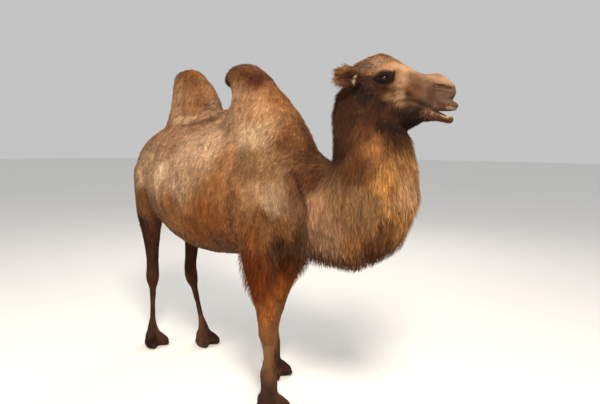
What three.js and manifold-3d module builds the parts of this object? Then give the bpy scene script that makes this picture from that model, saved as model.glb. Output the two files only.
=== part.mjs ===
// A standing Bactrian camel, life size, as a set of closed solids that meet face to face.
// Millimetres, +Z up. The camel faces +X and its left side is +Y. Every body part is a loft: a sphere
// grid drawn out along a spine through a few named stations. The lofts are joined into one animal,
// which thin slabs then part at the joints where a person would name the pieces.

import * as THREE from 'three';
import { mergeVertices } from 'three/addons/utils/BufferGeometryUtils.js';
import Module from 'manifold-3d';

const wasm = await Module();
wasm.setup();

// ---------------------------------------------------------------- driving dimensions

const LEFT = 1;
const RIGHT = -1;
const UP = new THREE.Vector3(0, 0, 1);
const GAP = 0.4; // left between pieces that meet

// Heights
const GROUND = 25; // the level of the soles
const SOLE = 90; // where the shank ends inside the foot
const FETLOCK = 160;
const PARTING = { elbow: 950, stifle: 985, fetlock: 168 };

// The joints of each leg, where its foot stands, and how large the foot is. The left elbow is bent,
// which makes the muscle above it `breadth` times as broad.
const LEGS = {
  fore_right: {
    shoulder: [540, -150, 1450], elbow: [622, -199, 1010], carpus: [697, -175, 515],
    foot: { x: 700, y: -172, size: 1.03 },
  },
  fore_left: {
    shoulder: [540, 150, 1450], elbow: [576, 178, 1000], carpus: [372, 179, 515],
    breadth: 1.14,
    foot: { x: 350, y: 177, size: 1.03 },
  },
  hind_right: {
    hip: [-690, -130, 1450], stifle: [-650, -180, 1060], hock: [-741, -122, 615],
    foot: { x: -704, y: -151, size: 0.96 },
  },
  hind_left: {
    hip: [-690, 130, 1450], stifle: [-590, 170, 1060], hock: [-575, 116, 615],
    foot: { x: -440, y: 150, size: 0.96 },
  },
};

// The head's own frame: its origin lies midway between the eyes, u runs to the lips, w to the left, v up
const HEAD = { x: 1335, y: 62, z: 1972, yaw: 22 };
const EYE = { u: 0, v: -8, w: 84, radius: 23 };

// ---------------------------------------------------------------- lofting

// A station is one cross-section: its middle, its half-width to the side, its reach above and below
// (or, on a limb that hangs, ahead and behind), how much narrower its top is, and the turn of its side.
function station(x, y, z, side, up, down, { narrow = 0, turn = 0 } = {}) {
  return { x, y, z, side, up, down, narrow, turn };
}

// Smooth interpolation of one number along the stations
function along(stations, key, at) {
  const last = stations.length - 1;
  const i = Math.min(Math.floor(at), last - 1);
  const value = (k) => stations[Math.max(0, Math.min(last, k))][key];
  const t = at - i;
  const [a, b, c, d] = [value(i - 1), value(i), value(i + 1), value(i + 2)];
  const bend = (2 * a - 5 * b + 4 * c - d) * t * t;
  return 0.5 * (2 * b + (c - a) * t + bend + (3 * b - a - 3 * c + d) * t ** 3);
}

// A closed body through the stations. Its ends are domes that reach startCap and endCap past them.
function loft(stations, { around = 20, rows = 20, startCap = 30, endCap = 30, capRows = 3 } = {}) {
  const geometry = new THREE.SphereGeometry(1, around, rows);
  const { position, uv } = geometry.attributes;
  const spine = new THREE.CatmullRomCurve3(
    stations.map((s) => new THREE.Vector3(s.x, s.y, s.z)), false, 'catmullrom', 0.5,
  );
  const last = stations.length - 1;
  for (let i = 0; i < position.count; i++) {
    const row = (1 - uv.getY(i)) * rows;
    const angle = uv.getX(i) * 2 * Math.PI;
    const t = THREE.MathUtils.clamp((row - capRows) / (rows - 2 * capRows), 0, 1);
    const at = t * last;
    const dome = Math.min(row, rows - row, capRows) / capRows;
    const swell = Math.sin(dome * Math.PI / 2);
    const beyond = row < capRows ? -startCap : endCap;
    const middle = spine.getPoint(t);
    const tangent = spine.getTangent(t);
    const turn = THREE.MathUtils.degToRad(along(stations, 'turn', at));
    const top = tangent.clone().cross(new THREE.Vector3(-Math.sin(turn), Math.cos(turn), 0)).normalize();
    const side = top.clone().cross(tangent);
    const s = Math.sin(angle);
    const reach = along(stations, s > 0 ? 'up' : 'down', at);
    const width = along(stations, 'side', at) * (1 - along(stations, 'narrow', at) * s);
    middle.addScaledVector(tangent, beyond * Math.cos(dome * Math.PI / 2));
    middle.addScaledVector(side, width * Math.cos(angle) * swell);
    middle.addScaledVector(top, reach * s * swell);
    position.setXYZ(i, middle.x, middle.y, middle.z);
  }
  return geometry;
}

// ---------------------------------------------------------------- solids

// A three.js geometry as a manifold solid with its faces pointing out
function solid(geometry) {
  geometry.deleteAttribute('normal');
  geometry.deleteAttribute('uv');
  const merged = mergeVertices(geometry, 1e-3);
  const triVerts = new Uint32Array(merged.index.array);
  const vertProperties = new Float32Array(merged.attributes.position.array);
  const made = new wasm.Manifold(new wasm.Mesh({ numProp: 3, vertProperties, triVerts }));
  if (made.volume() > 0) return made;
  for (let i = 0; i < triVerts.length; i += 3) {
    [triVerts[i + 1], triVerts[i + 2]] = [triVerts[i + 2], triVerts[i + 1]];
  }
  return new wasm.Manifold(new wasm.Mesh({ numProp: 3, vertProperties, triVerts }));
}

function geometryOf(manifold) {
  const mesh = manifold.getMesh();
  const vertices = new Float32Array(mesh.numVert * 3);
  for (let i = 0; i < mesh.numVert; i++) {
    vertices.set(mesh.vertProperties.subarray(i * mesh.numProp, i * mesh.numProp + 3), i * 3);
  }
  return new THREE.BufferGeometry()
    .setAttribute('position', new THREE.BufferAttribute(vertices, 3))
    .setIndex(new THREE.BufferAttribute(mesh.triVerts, 1));
}

const joined = (solids) => solids.reduce((all, one) => all.add(one));

// ---------------------------------------------------------------- trunk, humps and neck

function trunk() {
  return solid(loft([
    station(-900, 0, 1420, 150, 170, 160),
    station(-780, 0, 1420, 220, 274, 260),
    station(-580, 0, 1400, 262, 384, 360, { narrow: 0.05 }),
    station(-340, 0, 1370, 330, 470, 430, { narrow: 0.1 }),
    station(-80, 0, 1340, 370, 510, 465, { narrow: 0.12 }),
    station(200, 0, 1330, 368, 540, 440, { narrow: 0.12 }),
    station(460, 0, 1340, 330, 500, 400, { narrow: 0.1 }),
    station(660, 0, 1360, 270, 360, 360),
    station(800, 0, 1360, 200, 220, 270),
  ], { around: 20, rows: 18, startCap: 60, endCap: 80, capRows: 2 }));
}

// A hump's spine climbs, so its sections reach aft and ahead
function humpFront() {
  return solid(loft([
    station(345, 0, 1580, 255, 330, 545),
    station(345, 0, 1780, 200, 188, 410),
    station(330, 0, 1920, 138, 78, 246),
    station(300, 0, 2015, 124, 118, 150),
    station(225, 0, 2062, 96, 95, 85),
    station(150, 0, 2045, 78, 62, 62),
  ], { around: 16, rows: 13, startCap: 60, endCap: 45, capRows: 2 }));
}

function humpRear() {
  return solid(loft([
    station(-350, 0, 1580, 235, 265, 440),
    station(-350, 0, 1780, 166, 195, 372),
    station(-360, 0, 1930, 128, 142, 303),
    station(-380, 0, 2045, 106, 114, 207),
    station(-395, 0, 2110, 94, 98, 138),
  ], { around: 16, rows: 11, startCap: 60, endCap: 42, capRows: 2 }));
}

function neck() {
  return solid(loft([
    station(450, 0, 1420, 270, 290, 350),
    station(700, 0, 1405, 240, 255, 352),
    station(920, 0, 1350, 215, 205, 362, { turn: 2 }),
    station(1100, 5, 1325, 200, 205, 380, { turn: 5 }),
    station(1215, 10, 1410, 190, 190, 355, { turn: 9 }),
    station(1250, 20, 1560, 168, 195, 275, { turn: 13 }),
    station(1240, 30, 1700, 145, 197, 212, { turn: 18 }),
    station(1240, 35, 1820, 120, 208, 165, { turn: 22 }),
    station(1260, 40, 1905, 92, 168, 100, { turn: 22 }),
  ], { around: 16, rows: 17, startCap: 60, endCap: 30, capRows: 2 }));
}

function tail() {
  return solid(loft([
    station(-880, 0, 1560, 40, 40, 40),
    station(-980, 0, 1497, 34, 32, 32),
    station(-1002, 0, 1350, 28, 26, 26),
    station(-995, 0, 1180, 26, 22, 22),
    station(-985, 0, 1060, 38, 30, 30),
    station(-980, 0, 960, 26, 22, 22),
  ], { around: 8, rows: 12, startCap: 20, endCap: 40, capRows: 2 }));
}

// ---------------------------------------------------------------- legs

// Where a leg's chain of joints is: 1.4 lies four tenths of the way from joint 1 to joint 2
function onChain(chain, at) {
  const i = Math.min(Math.floor(at), chain.length - 2);
  return chain[i].map((from, axis) => THREE.MathUtils.lerp(from, chain[i + 1][axis], at - i));
}

// Each section sits on the chain and has a half-width to the side and a reach ahead and behind
function limb(chain, sections) {
  return solid(loft(
    sections.map(([at, side, ahead, behind]) => station(...onChain(chain, at), side, ahead, behind)),
    { around: 10, rows: 18, startCap: 60, endCap: 30, capRows: 1 },
  ));
}

function foreleg({ shoulder, elbow, carpus, breadth = 1, foot: { x, y } }) {
  return limb([shoulder, elbow, carpus, [x, y, FETLOCK], [x, y, SOLE]], [
    [0, 90, 140, 160],
    [0.6, 100, 125, 140],
    [1, 106 * breadth, 106 * breadth, 134 * breadth],
    [1.4, 86, 82, 96],
    [1.75, 57, 62, 62],
    [2.02, 64, 64, 68],
    [2.25, 42, 42, 46],
    [2.5, 35, 36, 40],
    [2.7, 54, 48, 70],
    [2.88, 54, 50, 60],
    [4, 58, 56, 56],
  ]);
}

function hindleg({ hip, stifle, hock, foot: { x, y } }) {
  return limb([hip, stifle, hock, [x - 15, y, FETLOCK], [x, y, SOLE]], [
    [0, 120, 200, 200],
    [0.55, 105, 180, 190],
    [1, 88, 120, 150],
    [1.3, 68, 85, 95],
    [1.7, 50, 58, 60],
    [1.95, 50, 52, 62],
    [2.15, 54, 46, 68],
    [2.35, 27, 29, 32],
    [2.8, 24, 26, 28],
    [3, 43, 41, 47],
    [4, 60, 56, 58],
  ]);
}

// A station on a foot: how far ahead, aside and up it is, and its reaches, at the foot's own size
function onFoot({ x, y, size }, [ahead, aside, up], reaches, grown = 0) {
  const sizes = reaches.map((reach) => reach * size + grown);
  return station(x + ahead * size, y + aside * size, GROUND + up * size, ...sizes);
}

// Two toes on one broad pad, cut flat at the ground
function foot({ foot: at }) {
  const toes = [LEFT, RIGHT].map((hand) => solid(loft([
    onFoot(at, [-40, hand * 15, 78], [42, 42, 45]),
    onFoot(at, [25, hand * 44, 48], [50, 50, 60]),
    onFoot(at, [78, hand * 55, 34], [47, 42, 50]),
  ], { around: 7, rows: 6, startCap: 30, endCap: 36, capRows: 2 })));
  const pad = solid(loft([
    onFoot(at, [-55, 0, 12], [66, 52, 60]),
    onFoot(at, [40, 0, 10], [96, 38, 60]),
  ], { around: 7, rows: 5, startCap: 32, endCap: 30, capRows: 2 }));
  const under = solid(new THREE.BoxGeometry(600, 600, 200).translate(at.x, at.y, GROUND - 100));
  return joined([...toes, pad]).subtract(under);
}

// A broad low nail on the tip of one toe
function nail({ foot: at }, hand, grown = 0) {
  return solid(loft([
    onFoot(at, [92, hand * 57, 34], [24, 22, 16], grown),
    onFoot(at, [116, hand * 60, 22], [19, 14, 12], grown),
  ], { around: 6, rows: 4, startCap: 8 + grown, endCap: 8 + grown, capRows: 1 }));
}

// ---------------------------------------------------------------- head

function placedOnHead(geometry) {
  return geometry
    .rotateZ(THREE.MathUtils.degToRad(HEAD.yaw))
    .translate(HEAD.x, HEAD.y, HEAD.z);
}

const onHead = (stations, options) => solid(placedOnHead(loft(stations, options)));

function skull() {
  return onHead([
    station(-170, 0, -20, 72, 108, 90),
    station(-100, 0, -20, 95, 138, 130, { narrow: 0.1 }),
    station(-20, 0, -20, 105, 152, 150, { narrow: 0.15 }),
    station(60, 0, -20, 90, 103, 136, { narrow: 0.1 }),
    station(130, 0, -35, 70, 68, 100),
    station(180, 0, -55, 60, 78, 85),
    station(235, 0, -68, 61, 90, 90),
    station(285, 0, -82, 62, 68, 88),
    station(312, 0, -98, 52, 46, 60),
  ], { around: 16, rows: 18, startCap: 40, endCap: 16, capRows: 2 });
}

function jaw() {
  return onHead([
    station(-100, 0, -140, 75, 60, 115),
    station(-20, 0, -165, 70, 60, 100),
    station(70, 0, -168, 62, 64, 102),
    station(130, 0, -170, 54, 52, 88),
    station(190, 0, -178, 44, 38, 44),
    station(250, 0, -190, 36, 29, 27),
    station(312, 0, -205, 32, 10, 24),
  ], { around: 12, rows: 13, startCap: 40, endCap: 20, capRows: 2 });
}

// The upper lip is split: each half hangs past the nose
function lip(hand) {
  return onHead([
    station(240, hand * 28, -115, 30, 30, 48),
    station(295, hand * 25, -128, 30, 28, 42),
    station(334, hand * 20, -140, 24, 18, 26),
  ], { around: 8, rows: 7, startCap: 10, endCap: 15, capRows: 2 });
}

function ear(hand) {
  return onHead([
    station(-105, hand * 74, 4, 20, 32, 32),
    station(-145, hand * 104, 4, 20, 52, 54),
    station(-190, hand * 130, 0, 17, 58, 62),
    station(-230, hand * 148, -2, 11, 38, 42),
  ], { around: 8, rows: 8, startCap: 10, endCap: 12, capRows: 2 });
}

function eye(hand, grown = 0) {
  const ball = new THREE.SphereGeometry(EYE.radius + grown, 10, 7);
  return solid(placedOnHead(ball.translate(EYE.u, hand * EYE.w, EYE.v)));
}

// ---------------------------------------------------------------- the animal, joined and parted

// A thin slab that faces along the normal, `long` from back to front and `wide` from side to side
function slab([x, y, z], normal, long, wide) {
  const facing = new THREE.Matrix4().lookAt(new THREE.Vector3(...normal), new THREE.Vector3(), UP);
  return new THREE.BoxGeometry(wide, long, GAP).applyMatrix4(facing).translate(x, y, z);
}

// Under each hump, across the base of the neck, and across the root of the tail
const bodySlabs = [
  slab([450, 0, 1825], [0.14, 0, 1], 770, 700),
  slab([-300, 0, 1850], [-0.16, 0, 1], 700, 600),
  slab([835, 0, 1390], [1, 0, -0.095], 800, 800),
  slab([-954, 0, 1520], [-1, 0, 0.106], 170, 120),
];

// From nape to throat, behind and above the lower jaw, and across the root of each ear
const headSlabs = [
  slab([-43, 0, -160], [0.64, 0, 0.77], 480, 340),
  slab([140, 0, -214], [1, 0, 0.1], 158, 140),
  slab([212, 0, -158], [0.2, 0, 1], 162, 140),
  slab([-130, 94, 12], [-1, 0.8, 0.1], 160, 90),
  slab([-130, -94, 12], [-1, -0.8, 0.1], 160, 90),
];

function chainOf({ shoulder, elbow, carpus, hip, stifle, hock, foot: { x, y } }) {
  return [shoulder ?? hip, elbow ?? stifle, carpus ?? hock, [x, y, FETLOCK]];
}

function legSlabs(leg) {
  const [, upper, middle, [x, y]] = chainOf(leg);
  const parting = leg.elbow ? PARTING.elbow : PARTING.stifle;
  return [
    slab([upper[0], upper[1] * 1.04, parting], [0, 0, 1], 344, 264),
    slab(middle, [0, 0, 1], 200, 200),
    slab([x, y, PARTING.fetlock], [0, 0, 1], 200, 200),
  ];
}

const legs = Object.values(LEGS);
const whole = joined([
  trunk(), humpFront(), humpRear(), neck(), tail(),
  ...legs.map((leg) => (leg.elbow ? foreleg(leg) : hindleg(leg))),
  ...legs.map(foot),
  skull(), jaw(), lip(LEFT), lip(RIGHT), ear(LEFT), ear(RIGHT),
]);
const cuts = [...bodySlabs, ...headSlabs.map(placedOnHead), ...legs.flatMap(legSlabs)].map(solid);
const sockets = [LEFT, RIGHT].flatMap((hand) => [
  eye(hand, GAP),
  ...legs.map((leg) => nail(leg, hand, GAP)),
]);
const parted = whole.subtract(joined([...cuts, ...sockets])).decompose();

// The piece that holds a given spot
function pieceAt([x, y, z]) {
  const spot = solid(new THREE.OctahedronGeometry(2).translate(x, y, z));
  return parted.find((piece) => piece.intersect(spot).volume() > 0);
}

// A spot given in the head's own frame
function headSpot(u, w, v) {
  return new THREE.Vector3(u, w, v)
    .applyAxisAngle(UP, THREE.MathUtils.degToRad(HEAD.yaw))
    .add(HEAD)
    .toArray();
}

const SIDES = { left: LEFT, right: RIGHT };
const COAT = {
  golden: 0xa8793f,
  tan: 0xab7c4b,
  ridge: 0x80502f,
  face: 0x8f6f50,
  cuff: 0x7c4626,
  shank: 0x6f5643,
  dusk: 0x402c22,
};
const camel = new THREE.Group();

function show(name, manifold, color, roughness = 0.9) {
  const material = new THREE.MeshStandardMaterial({ color, roughness, metalness: 0 });
  const mesh = new THREE.Mesh(geometryOf(manifold), material);
  mesh.name = name;
  camel.add(mesh);
}

show('trunk', pieceAt([0, 0, 1350]), COAT.tan);
show('hump_front', pieceAt([330, 0, 1950]), COAT.ridge);
show('hump_rear', pieceAt([-370, 0, 1980]), COAT.ridge);
show('neck', pieceAt([1100, 5, 1330]), COAT.golden);
show('tail', pieceAt([-1010, 0, 1350]), COAT.dusk);
show('head', pieceAt(headSpot(0, 0, 0)), COAT.face);
show('jaw', pieceAt(headSpot(200, 0, -190)), COAT.face);
for (const [side, hand] of Object.entries(SIDES)) {
  show(`ear_${side}`, pieceAt(headSpot(-195, hand * 122, 24)), COAT.face);
  show(`eye_${side}`, eye(hand), 0x140c08, 0.1);
}
for (const [name, leg] of Object.entries(LEGS)) {
  const { x, y } = leg.foot;
  const chain = chainOf(leg);
  show(`leg_${name}_upper`, pieceAt(onChain(chain, 1.5)), leg.elbow ? COAT.cuff : COAT.dusk);
  show(`leg_${name}_lower`, pieceAt(onChain(chain, 2.5)), leg.elbow ? COAT.shank : COAT.dusk);
  show(`foot_${name}`, pieceAt([x, y, GROUND + 40]), COAT.dusk);
  for (const [side, hand] of Object.entries(SIDES)) {
    show(`nail_${name}_${side}`, nail(leg, hand), 0x5c4a3c, 0.5);
  }
}

// The origin is on the floor, under the middle of the camel's box
const middle = new THREE.Box3().setFromObject(camel).getCenter(new THREE.Vector3());
camel.position.set(-middle.x, -middle.y, -GROUND);

export default camel;
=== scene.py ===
# %% [markdown]
# # A Bactrian camel, standing still
# The real animal is a warm, woolly body on long bare-looking legs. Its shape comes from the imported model,
# which is loaded here as a fixed frame. This lesson lays one seamless hide inside that shape, grows a
# coat of small solid locks over it, and then adds eyes, lashes and nails. Loading comes first, because
# every measure starts there.

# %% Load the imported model
import math
import time
from types import SimpleNamespace

import bpy
import numpy as np
from mathutils import Matrix, Vector, kdtree


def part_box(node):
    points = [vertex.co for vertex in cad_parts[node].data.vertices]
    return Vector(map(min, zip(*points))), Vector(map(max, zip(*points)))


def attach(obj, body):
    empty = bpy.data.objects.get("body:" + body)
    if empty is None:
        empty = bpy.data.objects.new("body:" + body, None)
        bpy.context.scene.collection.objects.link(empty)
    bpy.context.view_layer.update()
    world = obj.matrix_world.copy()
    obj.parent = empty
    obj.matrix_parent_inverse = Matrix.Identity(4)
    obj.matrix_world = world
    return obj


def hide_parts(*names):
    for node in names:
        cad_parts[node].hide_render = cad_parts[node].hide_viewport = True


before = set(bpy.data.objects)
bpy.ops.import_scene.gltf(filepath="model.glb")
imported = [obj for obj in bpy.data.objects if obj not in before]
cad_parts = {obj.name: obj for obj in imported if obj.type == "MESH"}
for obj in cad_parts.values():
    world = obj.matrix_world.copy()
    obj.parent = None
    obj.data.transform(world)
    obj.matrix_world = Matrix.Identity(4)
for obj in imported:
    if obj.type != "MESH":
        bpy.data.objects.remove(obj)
started = time.perf_counter()
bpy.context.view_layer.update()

# %% [markdown]
# ## Places
# A camel is easiest to measure from the ground under its belly, a little behind the forelegs, with x
# towards the head, y to its left and z up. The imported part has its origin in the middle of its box
# instead, so `at` turns one into the other. The head is turned a little to the left, so it has a frame of
# its own: forward along the nose, sideways to the camel's left, and up, from a point between the eyes.

# %% Frames of the body and of the head
ORIGIN = np.array((0.3207, 0.0, 0.025))
BETWEEN_EYES = np.array((1.335, 0.062, 1.972))
HEAD_TURN = math.radians(22)
FORWARD = np.array((math.cos(HEAD_TURN), math.sin(HEAD_TURN), 0.0))
SIDEWAYS = np.array((-math.sin(HEAD_TURN), math.cos(HEAD_TURN), 0.0))
UP = np.array((0.0, 0.0, 1.0))


def at(x, y, z):
    return np.array((x, y, z)) - ORIGIN


def along_head(forward, side, up):
    return forward * FORWARD + side * SIDEWAYS + up * UP


def on_head(forward, side, up):
    return BETWEEN_EYES - ORIGIN + along_head(forward, side, up)


SIDES = {"left": 1, "right": -1}
EYES = {side: np.mean([np.array(corner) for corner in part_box("eye_" + side)], axis=0) for side in SIDES}
EYE_RADIUS = 0.0226
print("eyes at", {side: EYES[side].round(3).tolist() for side in EYES})

# %% [markdown]
# ## Small tools
# Blender's operators act on whatever is selected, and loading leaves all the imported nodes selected, so
# one helper selects exactly what a step works on. Another adds a modifier with its settings and applies
# it at once. Colours are written as a painter would read them, in sRGB hex, and turned to linear light by
# one function.

# %% Selecting, finishing and colour


def only(*objects):
    bpy.ops.object.select_all(action="DESELECT")
    for piece in objects:
        piece.select_set(True)
    bpy.context.view_layer.objects.active = objects[0]


def finished(piece, kind, **settings):
    only(piece)
    tool = piece.modifiers.new(kind.title(), kind)
    for name, value in settings.items():
        setattr(tool, name, value)
    bpy.ops.object.modifier_apply(modifier=tool.name)
    return piece


def linear(colour):
    parts = np.array([int(colour[i:i + 2], 16) / 255 for i in (1, 3, 5)])
    return np.where(parts <= 0.04045, parts / 12.92, ((parts + 0.055) / 1.055) ** 2.4)


def opaque(colour):
    return (*linear(colour), 1)


def points_of(piece):
    flat = np.empty(len(piece.data.vertices) * 3, np.float32)
    piece.data.vertices.foreach_get("co", flat)
    return flat.reshape(-1, 3).astype(float)


def normals_of(piece):
    flat = np.empty(len(piece.data.vertices) * 3, np.float32)
    piece.data.vertex_normals.foreach_get("vector", flat)
    return flat.reshape(-1, 3).astype(float)


def move_points(piece, points):
    piece.data.vertices.foreach_set("co", points.astype(np.float32).ravel())
    piece.data.update()


def unit(vectors):
    return vectors / np.maximum(np.linalg.norm(vectors, axis=-1, keepdims=True), 1e-9)


# %% [markdown]
# ## Camera
# The camel is seen from the front and its right, from about a tall person's eye height, looking a little
# down. The camera is turned about the vertical, dipped, and rolled by half a degree.

# %% Camera
CAMERA_PLACE = at(2.887, -2.138, 1.667)
CAMERA_TURN, CAMERA_DIP, CAMERA_ROLL = math.radians(44.63), math.radians(7.05), math.radians(0.5)
bpy.ops.object.camera_add()
camera = bpy.context.object
camera.name = "camera"
camera.data.lens = 30.75
camera.data.clip_end = 200
camera.matrix_world = (
    Matrix.Translation(CAMERA_PLACE)
    @ Matrix.Rotation(CAMERA_TURN, 4, "Z")
    @ Matrix.Rotation(math.pi / 2 - CAMERA_DIP, 4, "X")
    @ Matrix.Rotation(CAMERA_ROLL, 4, "Z")
)
bpy.context.scene.camera = camera
print("camera", camera.matrix_world.translation)

# %% [markdown]
# ## Materials in words
# A finish here is a small tree of nodes. One function adds a node, sets its sockets and links what feeds
# it, so each material below reads as a recipe. Every colour on the animal is painted on its points as the
# attribute "tone", by the same rules for hide and coat, and the materials add what is finer than the
# points.

# %% One function for nodes


def add(tree, kind, inputs=None, **settings):
    node = tree.nodes.new("ShaderNode" + kind)
    for name, value in settings.items():
        setattr(node, name, value)
    for name, value in (inputs or {}).items():
        if isinstance(value, bpy.types.NodeSocket):
            tree.links.new(value, node.inputs[name])
        else:
            node.inputs[name].default_value = value
    return node


def new_material(name, inputs):
    material = bpy.data.materials.new(name)
    material.use_nodes = True
    tree = material.node_tree
    tree.nodes.clear()
    skin = add(tree, "BsdfPrincipled", inputs)
    output = add(tree, "OutputMaterial", {"Surface": skin.outputs["BSDF"]})
    output.is_active_output = True
    return material, tree, skin


# %% [markdown]
# ## Floor and light
# A museum animal is shown on a plain pale floor. The floor is one large disc of matt paint, and the light
# is soft: a key from the front right and above, a weaker fill from the right, a rim light from behind the
# left side, and a pale surround that lights the shadows.

# %% Floor, key, fill and surround
FLOOR_RADIUS = 40
SURROUND_STRENGTH = 0.55
bpy.ops.object.select_all(action="DESELECT")
bpy.ops.mesh.primitive_circle_add(vertices=96, radius=FLOOR_RADIUS, fill_type="NGON")
floor = bpy.context.object
floor.name = "floor"
floor_paint = new_material("matt floor paint", {"Base Color": opaque("#efefed"), "Roughness": 0.9})[0]
floor.data.materials.append(floor_paint)


def soft_light(name, place, aim, width, watts, colour):
    bpy.ops.object.light_add(type="AREA", location=place)
    lamp = bpy.context.object
    lamp.name = name
    lamp.data.size = width
    lamp.data.energy = watts
    lamp.data.color = linear(colour)
    lamp.rotation_mode = "QUATERNION"
    lamp.rotation_quaternion = (Vector(aim) - Vector(place)).to_track_quat("-Z", "Y")
    return lamp


soft_light("key", (3.6, -2.6, 5.2), (0, 0, 1.2), 1.5, 500, "#fff1dc")
soft_light("fill", (-1.4, -5.2, 2.6), (0, 0, 1.1), 3.0, 70, "#fff6ec")
soft_light("rim", (-2.5, 4.0, 4.6), (0, 0, 1.3), 2.5, 90, "#fff8ee")
surround = bpy.data.worlds.new("pale surround")
surround.use_nodes = True
background = surround.node_tree.nodes["Background"]
background.inputs["Color"].default_value = opaque("#ffffff")
background.inputs["Strength"].default_value = SURROUND_STRENGTH
bpy.context.scene.world = surround
bpy.context.scene.view_settings.view_transform = "Standard"

# %% [markdown]
# ## The hide
# Under the wool there is one skin from lips to toes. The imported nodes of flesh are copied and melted
# together by a voxel remesh, which closes the thin cuts between them. Broad muscles need only coarse
# cells, but lids, lips and nostrils need fine ones, so the head is melted on its own at 3 mm and sewn to
# the body by a bridge of faces low on the throat, where long wool covers it.

# %% Copy and melt
HEAD_FLESH = ("head", "jaw", "ear_left", "ear_right")
FLESH = [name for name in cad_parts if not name.startswith(("eye_", "nail_"))]
BODY_CELL, HEAD_CELL = 0.014, 0.003
SAME_POINT = 0.00001  # points nearer than this are merged


def copied(name, nodes):
    twins = []
    for node in nodes:
        twin = bpy.data.objects.new(node + "_twin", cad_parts[node].data.copy())
        bpy.context.scene.collection.objects.link(twin)
        twins.append(twin)
    only(*twins)
    if len(twins) > 1:
        bpy.ops.object.join()
    whole = bpy.context.object
    whole.name = name
    whole.data.materials.clear()
    bpy.ops.object.mode_set(mode="EDIT")
    bpy.ops.mesh.select_all(action="SELECT")
    bpy.ops.mesh.remove_doubles(threshold=SAME_POINT)
    bpy.ops.object.mode_set(mode="OBJECT")
    return whole


def melted(piece, cell):
    return finished(piece, "REMESH", mode="VOXEL", voxel_size=cell)


hide = melted(copied("hide", [name for name in FLESH if name not in HEAD_FLESH]), BODY_CELL)
print("body melted to", len(hide.data.polygons), "faces", round(time.perf_counter() - started, 1), "s")

# %% [markdown]
# ## Brows and lids
# A camel's eye lies under a strong bony brow and between thick lids. Each lid pair starts as a sphere a
# little larger than the eyeball. The faces over an almond-shaped opening are deleted, the rest gets a
# wall by Solidify, and the brow is a flattened ball above. A smaller ball makes the wing of each nostril.
# All of them melt into the head with it.

# %% Lids and brows
LID_RADIUS, LID_WALL = 0.0305, 0.0062
OPENING_WIDE, OPENING_HIGH = 0.0235, 0.0140  # half the width and half the height
OPENING_ABOVE, OPENING_BELOW = 1.05, 0.80  # shares of that height over and under the middle
GAZE_FORWARD, GAZE_UP = 0.30, 0.02  # for 1 sideways
BROW_RADII, WING_RADII = (0.044, 0.020, 0.018), (0.038, 0.010, 0.010)


def eye_axes(side):
    out = unit(along_head(GAZE_FORWARD, SIDES[side], GAZE_UP))
    across = unit(np.cross(UP, out)) * -SIDES[side]
    return out, across, unit(UP - out * (UP @ out))


def ball(name, place, radii, segments=32, rings=24):
    bpy.ops.object.select_all(action="DESELECT")
    bpy.ops.mesh.primitive_uv_sphere_add(segments=segments, ring_count=rings, radius=1)
    shape = bpy.context.object
    shape.name = name
    turned = Matrix.Translation(Vector(place)) @ Matrix.Rotation(HEAD_TURN, 4, "Z")
    shape.matrix_world = turned @ Matrix.Diagonal((*radii, 1))
    bpy.ops.object.transform_apply(location=True, rotation=True, scale=True)
    return shape


def lid_pair(side):
    lids = ball("lids_" + side, EYES[side], (LID_RADIUS,) * 3, 96, 64)
    out, across, up = eye_axes(side)
    away = points_of(lids) - EYES[side]
    wide, high = away @ across, away @ up
    bound = OPENING_HIGH * (1 - (wide / OPENING_WIDE) ** 2)
    open_to = (away @ out > 0) & (abs(wide) < OPENING_WIDE)
    open_to &= (high < bound * OPENING_ABOVE) & (high > -bound * OPENING_BELOW)
    bpy.ops.object.mode_set(mode="EDIT")
    bpy.ops.mesh.select_all(action="DESELECT")
    bpy.ops.object.mode_set(mode="OBJECT")
    lids.data.vertices.foreach_set("select", open_to)
    bpy.ops.object.mode_set(mode="EDIT")
    bpy.ops.mesh.select_mode(type="VERT")
    bpy.ops.mesh.delete(type="VERT")
    bpy.ops.object.mode_set(mode="OBJECT")
    return finished(lids, "SOLIDIFY", thickness=LID_WALL, offset=-1)


head = copied("head_hide", [*HEAD_FLESH, "neck"])
extras = []
for side, sign in SIDES.items():
    extras.append(lid_pair(side))
    extras.append(ball("brow_" + side, on_head(-0.010, sign * 0.078, 0.020), BROW_RADII))
    extras.append(ball("wing_" + side, on_head(0.270, sign * 0.051, -0.046), WING_RADII))
only(head, *extras)
bpy.ops.object.join()
melted(head, HEAD_CELL)
print("head melted to", len(head.data.polygons), "faces", round(time.perf_counter() - started, 1), "s")

# %% [markdown]
# ## Sewing head to body
# Both skins are cut by the same slanting plane through the upper neck. The body keeps what is below it
# and the head what is above. The two open rims then get a bridge of faces between them. Only faces near
# the neck are selected for the cut, because the plane would otherwise pass through the humps too.

# %% Cut and bridge
SEAM_POINT = on_head(-0.043, 0, -0.160)
SEAM_NORMAL = unit(along_head(0.64, 0, 0.77))
SEAM_DROP = 0.105
SEAM_BAND = 0.006  # half of the gap that the bridge fills
NECK_START = at(0.90, 0, 0)[0]


def trimmed(piece, plane, keep_above):
    chosen = points_of(piece)[:, 0] > (-np.inf if keep_above else NECK_START)
    only(piece)
    bpy.ops.object.mode_set(mode="EDIT")
    bpy.ops.mesh.select_mode(type="VERT")
    bpy.ops.mesh.select_all(action="DESELECT")
    bpy.ops.object.mode_set(mode="OBJECT")
    piece.data.vertices.foreach_set("select", chosen)
    bpy.ops.object.mode_set(mode="EDIT")
    bpy.ops.mesh.select_mode(type="FACE")
    bpy.ops.mesh.bisect(
        plane_co=plane, plane_no=SEAM_NORMAL, threshold=0.0001,
        clear_inner=keep_above, clear_outer=not keep_above,
    )
    bpy.ops.object.mode_set(mode="OBJECT")


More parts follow.
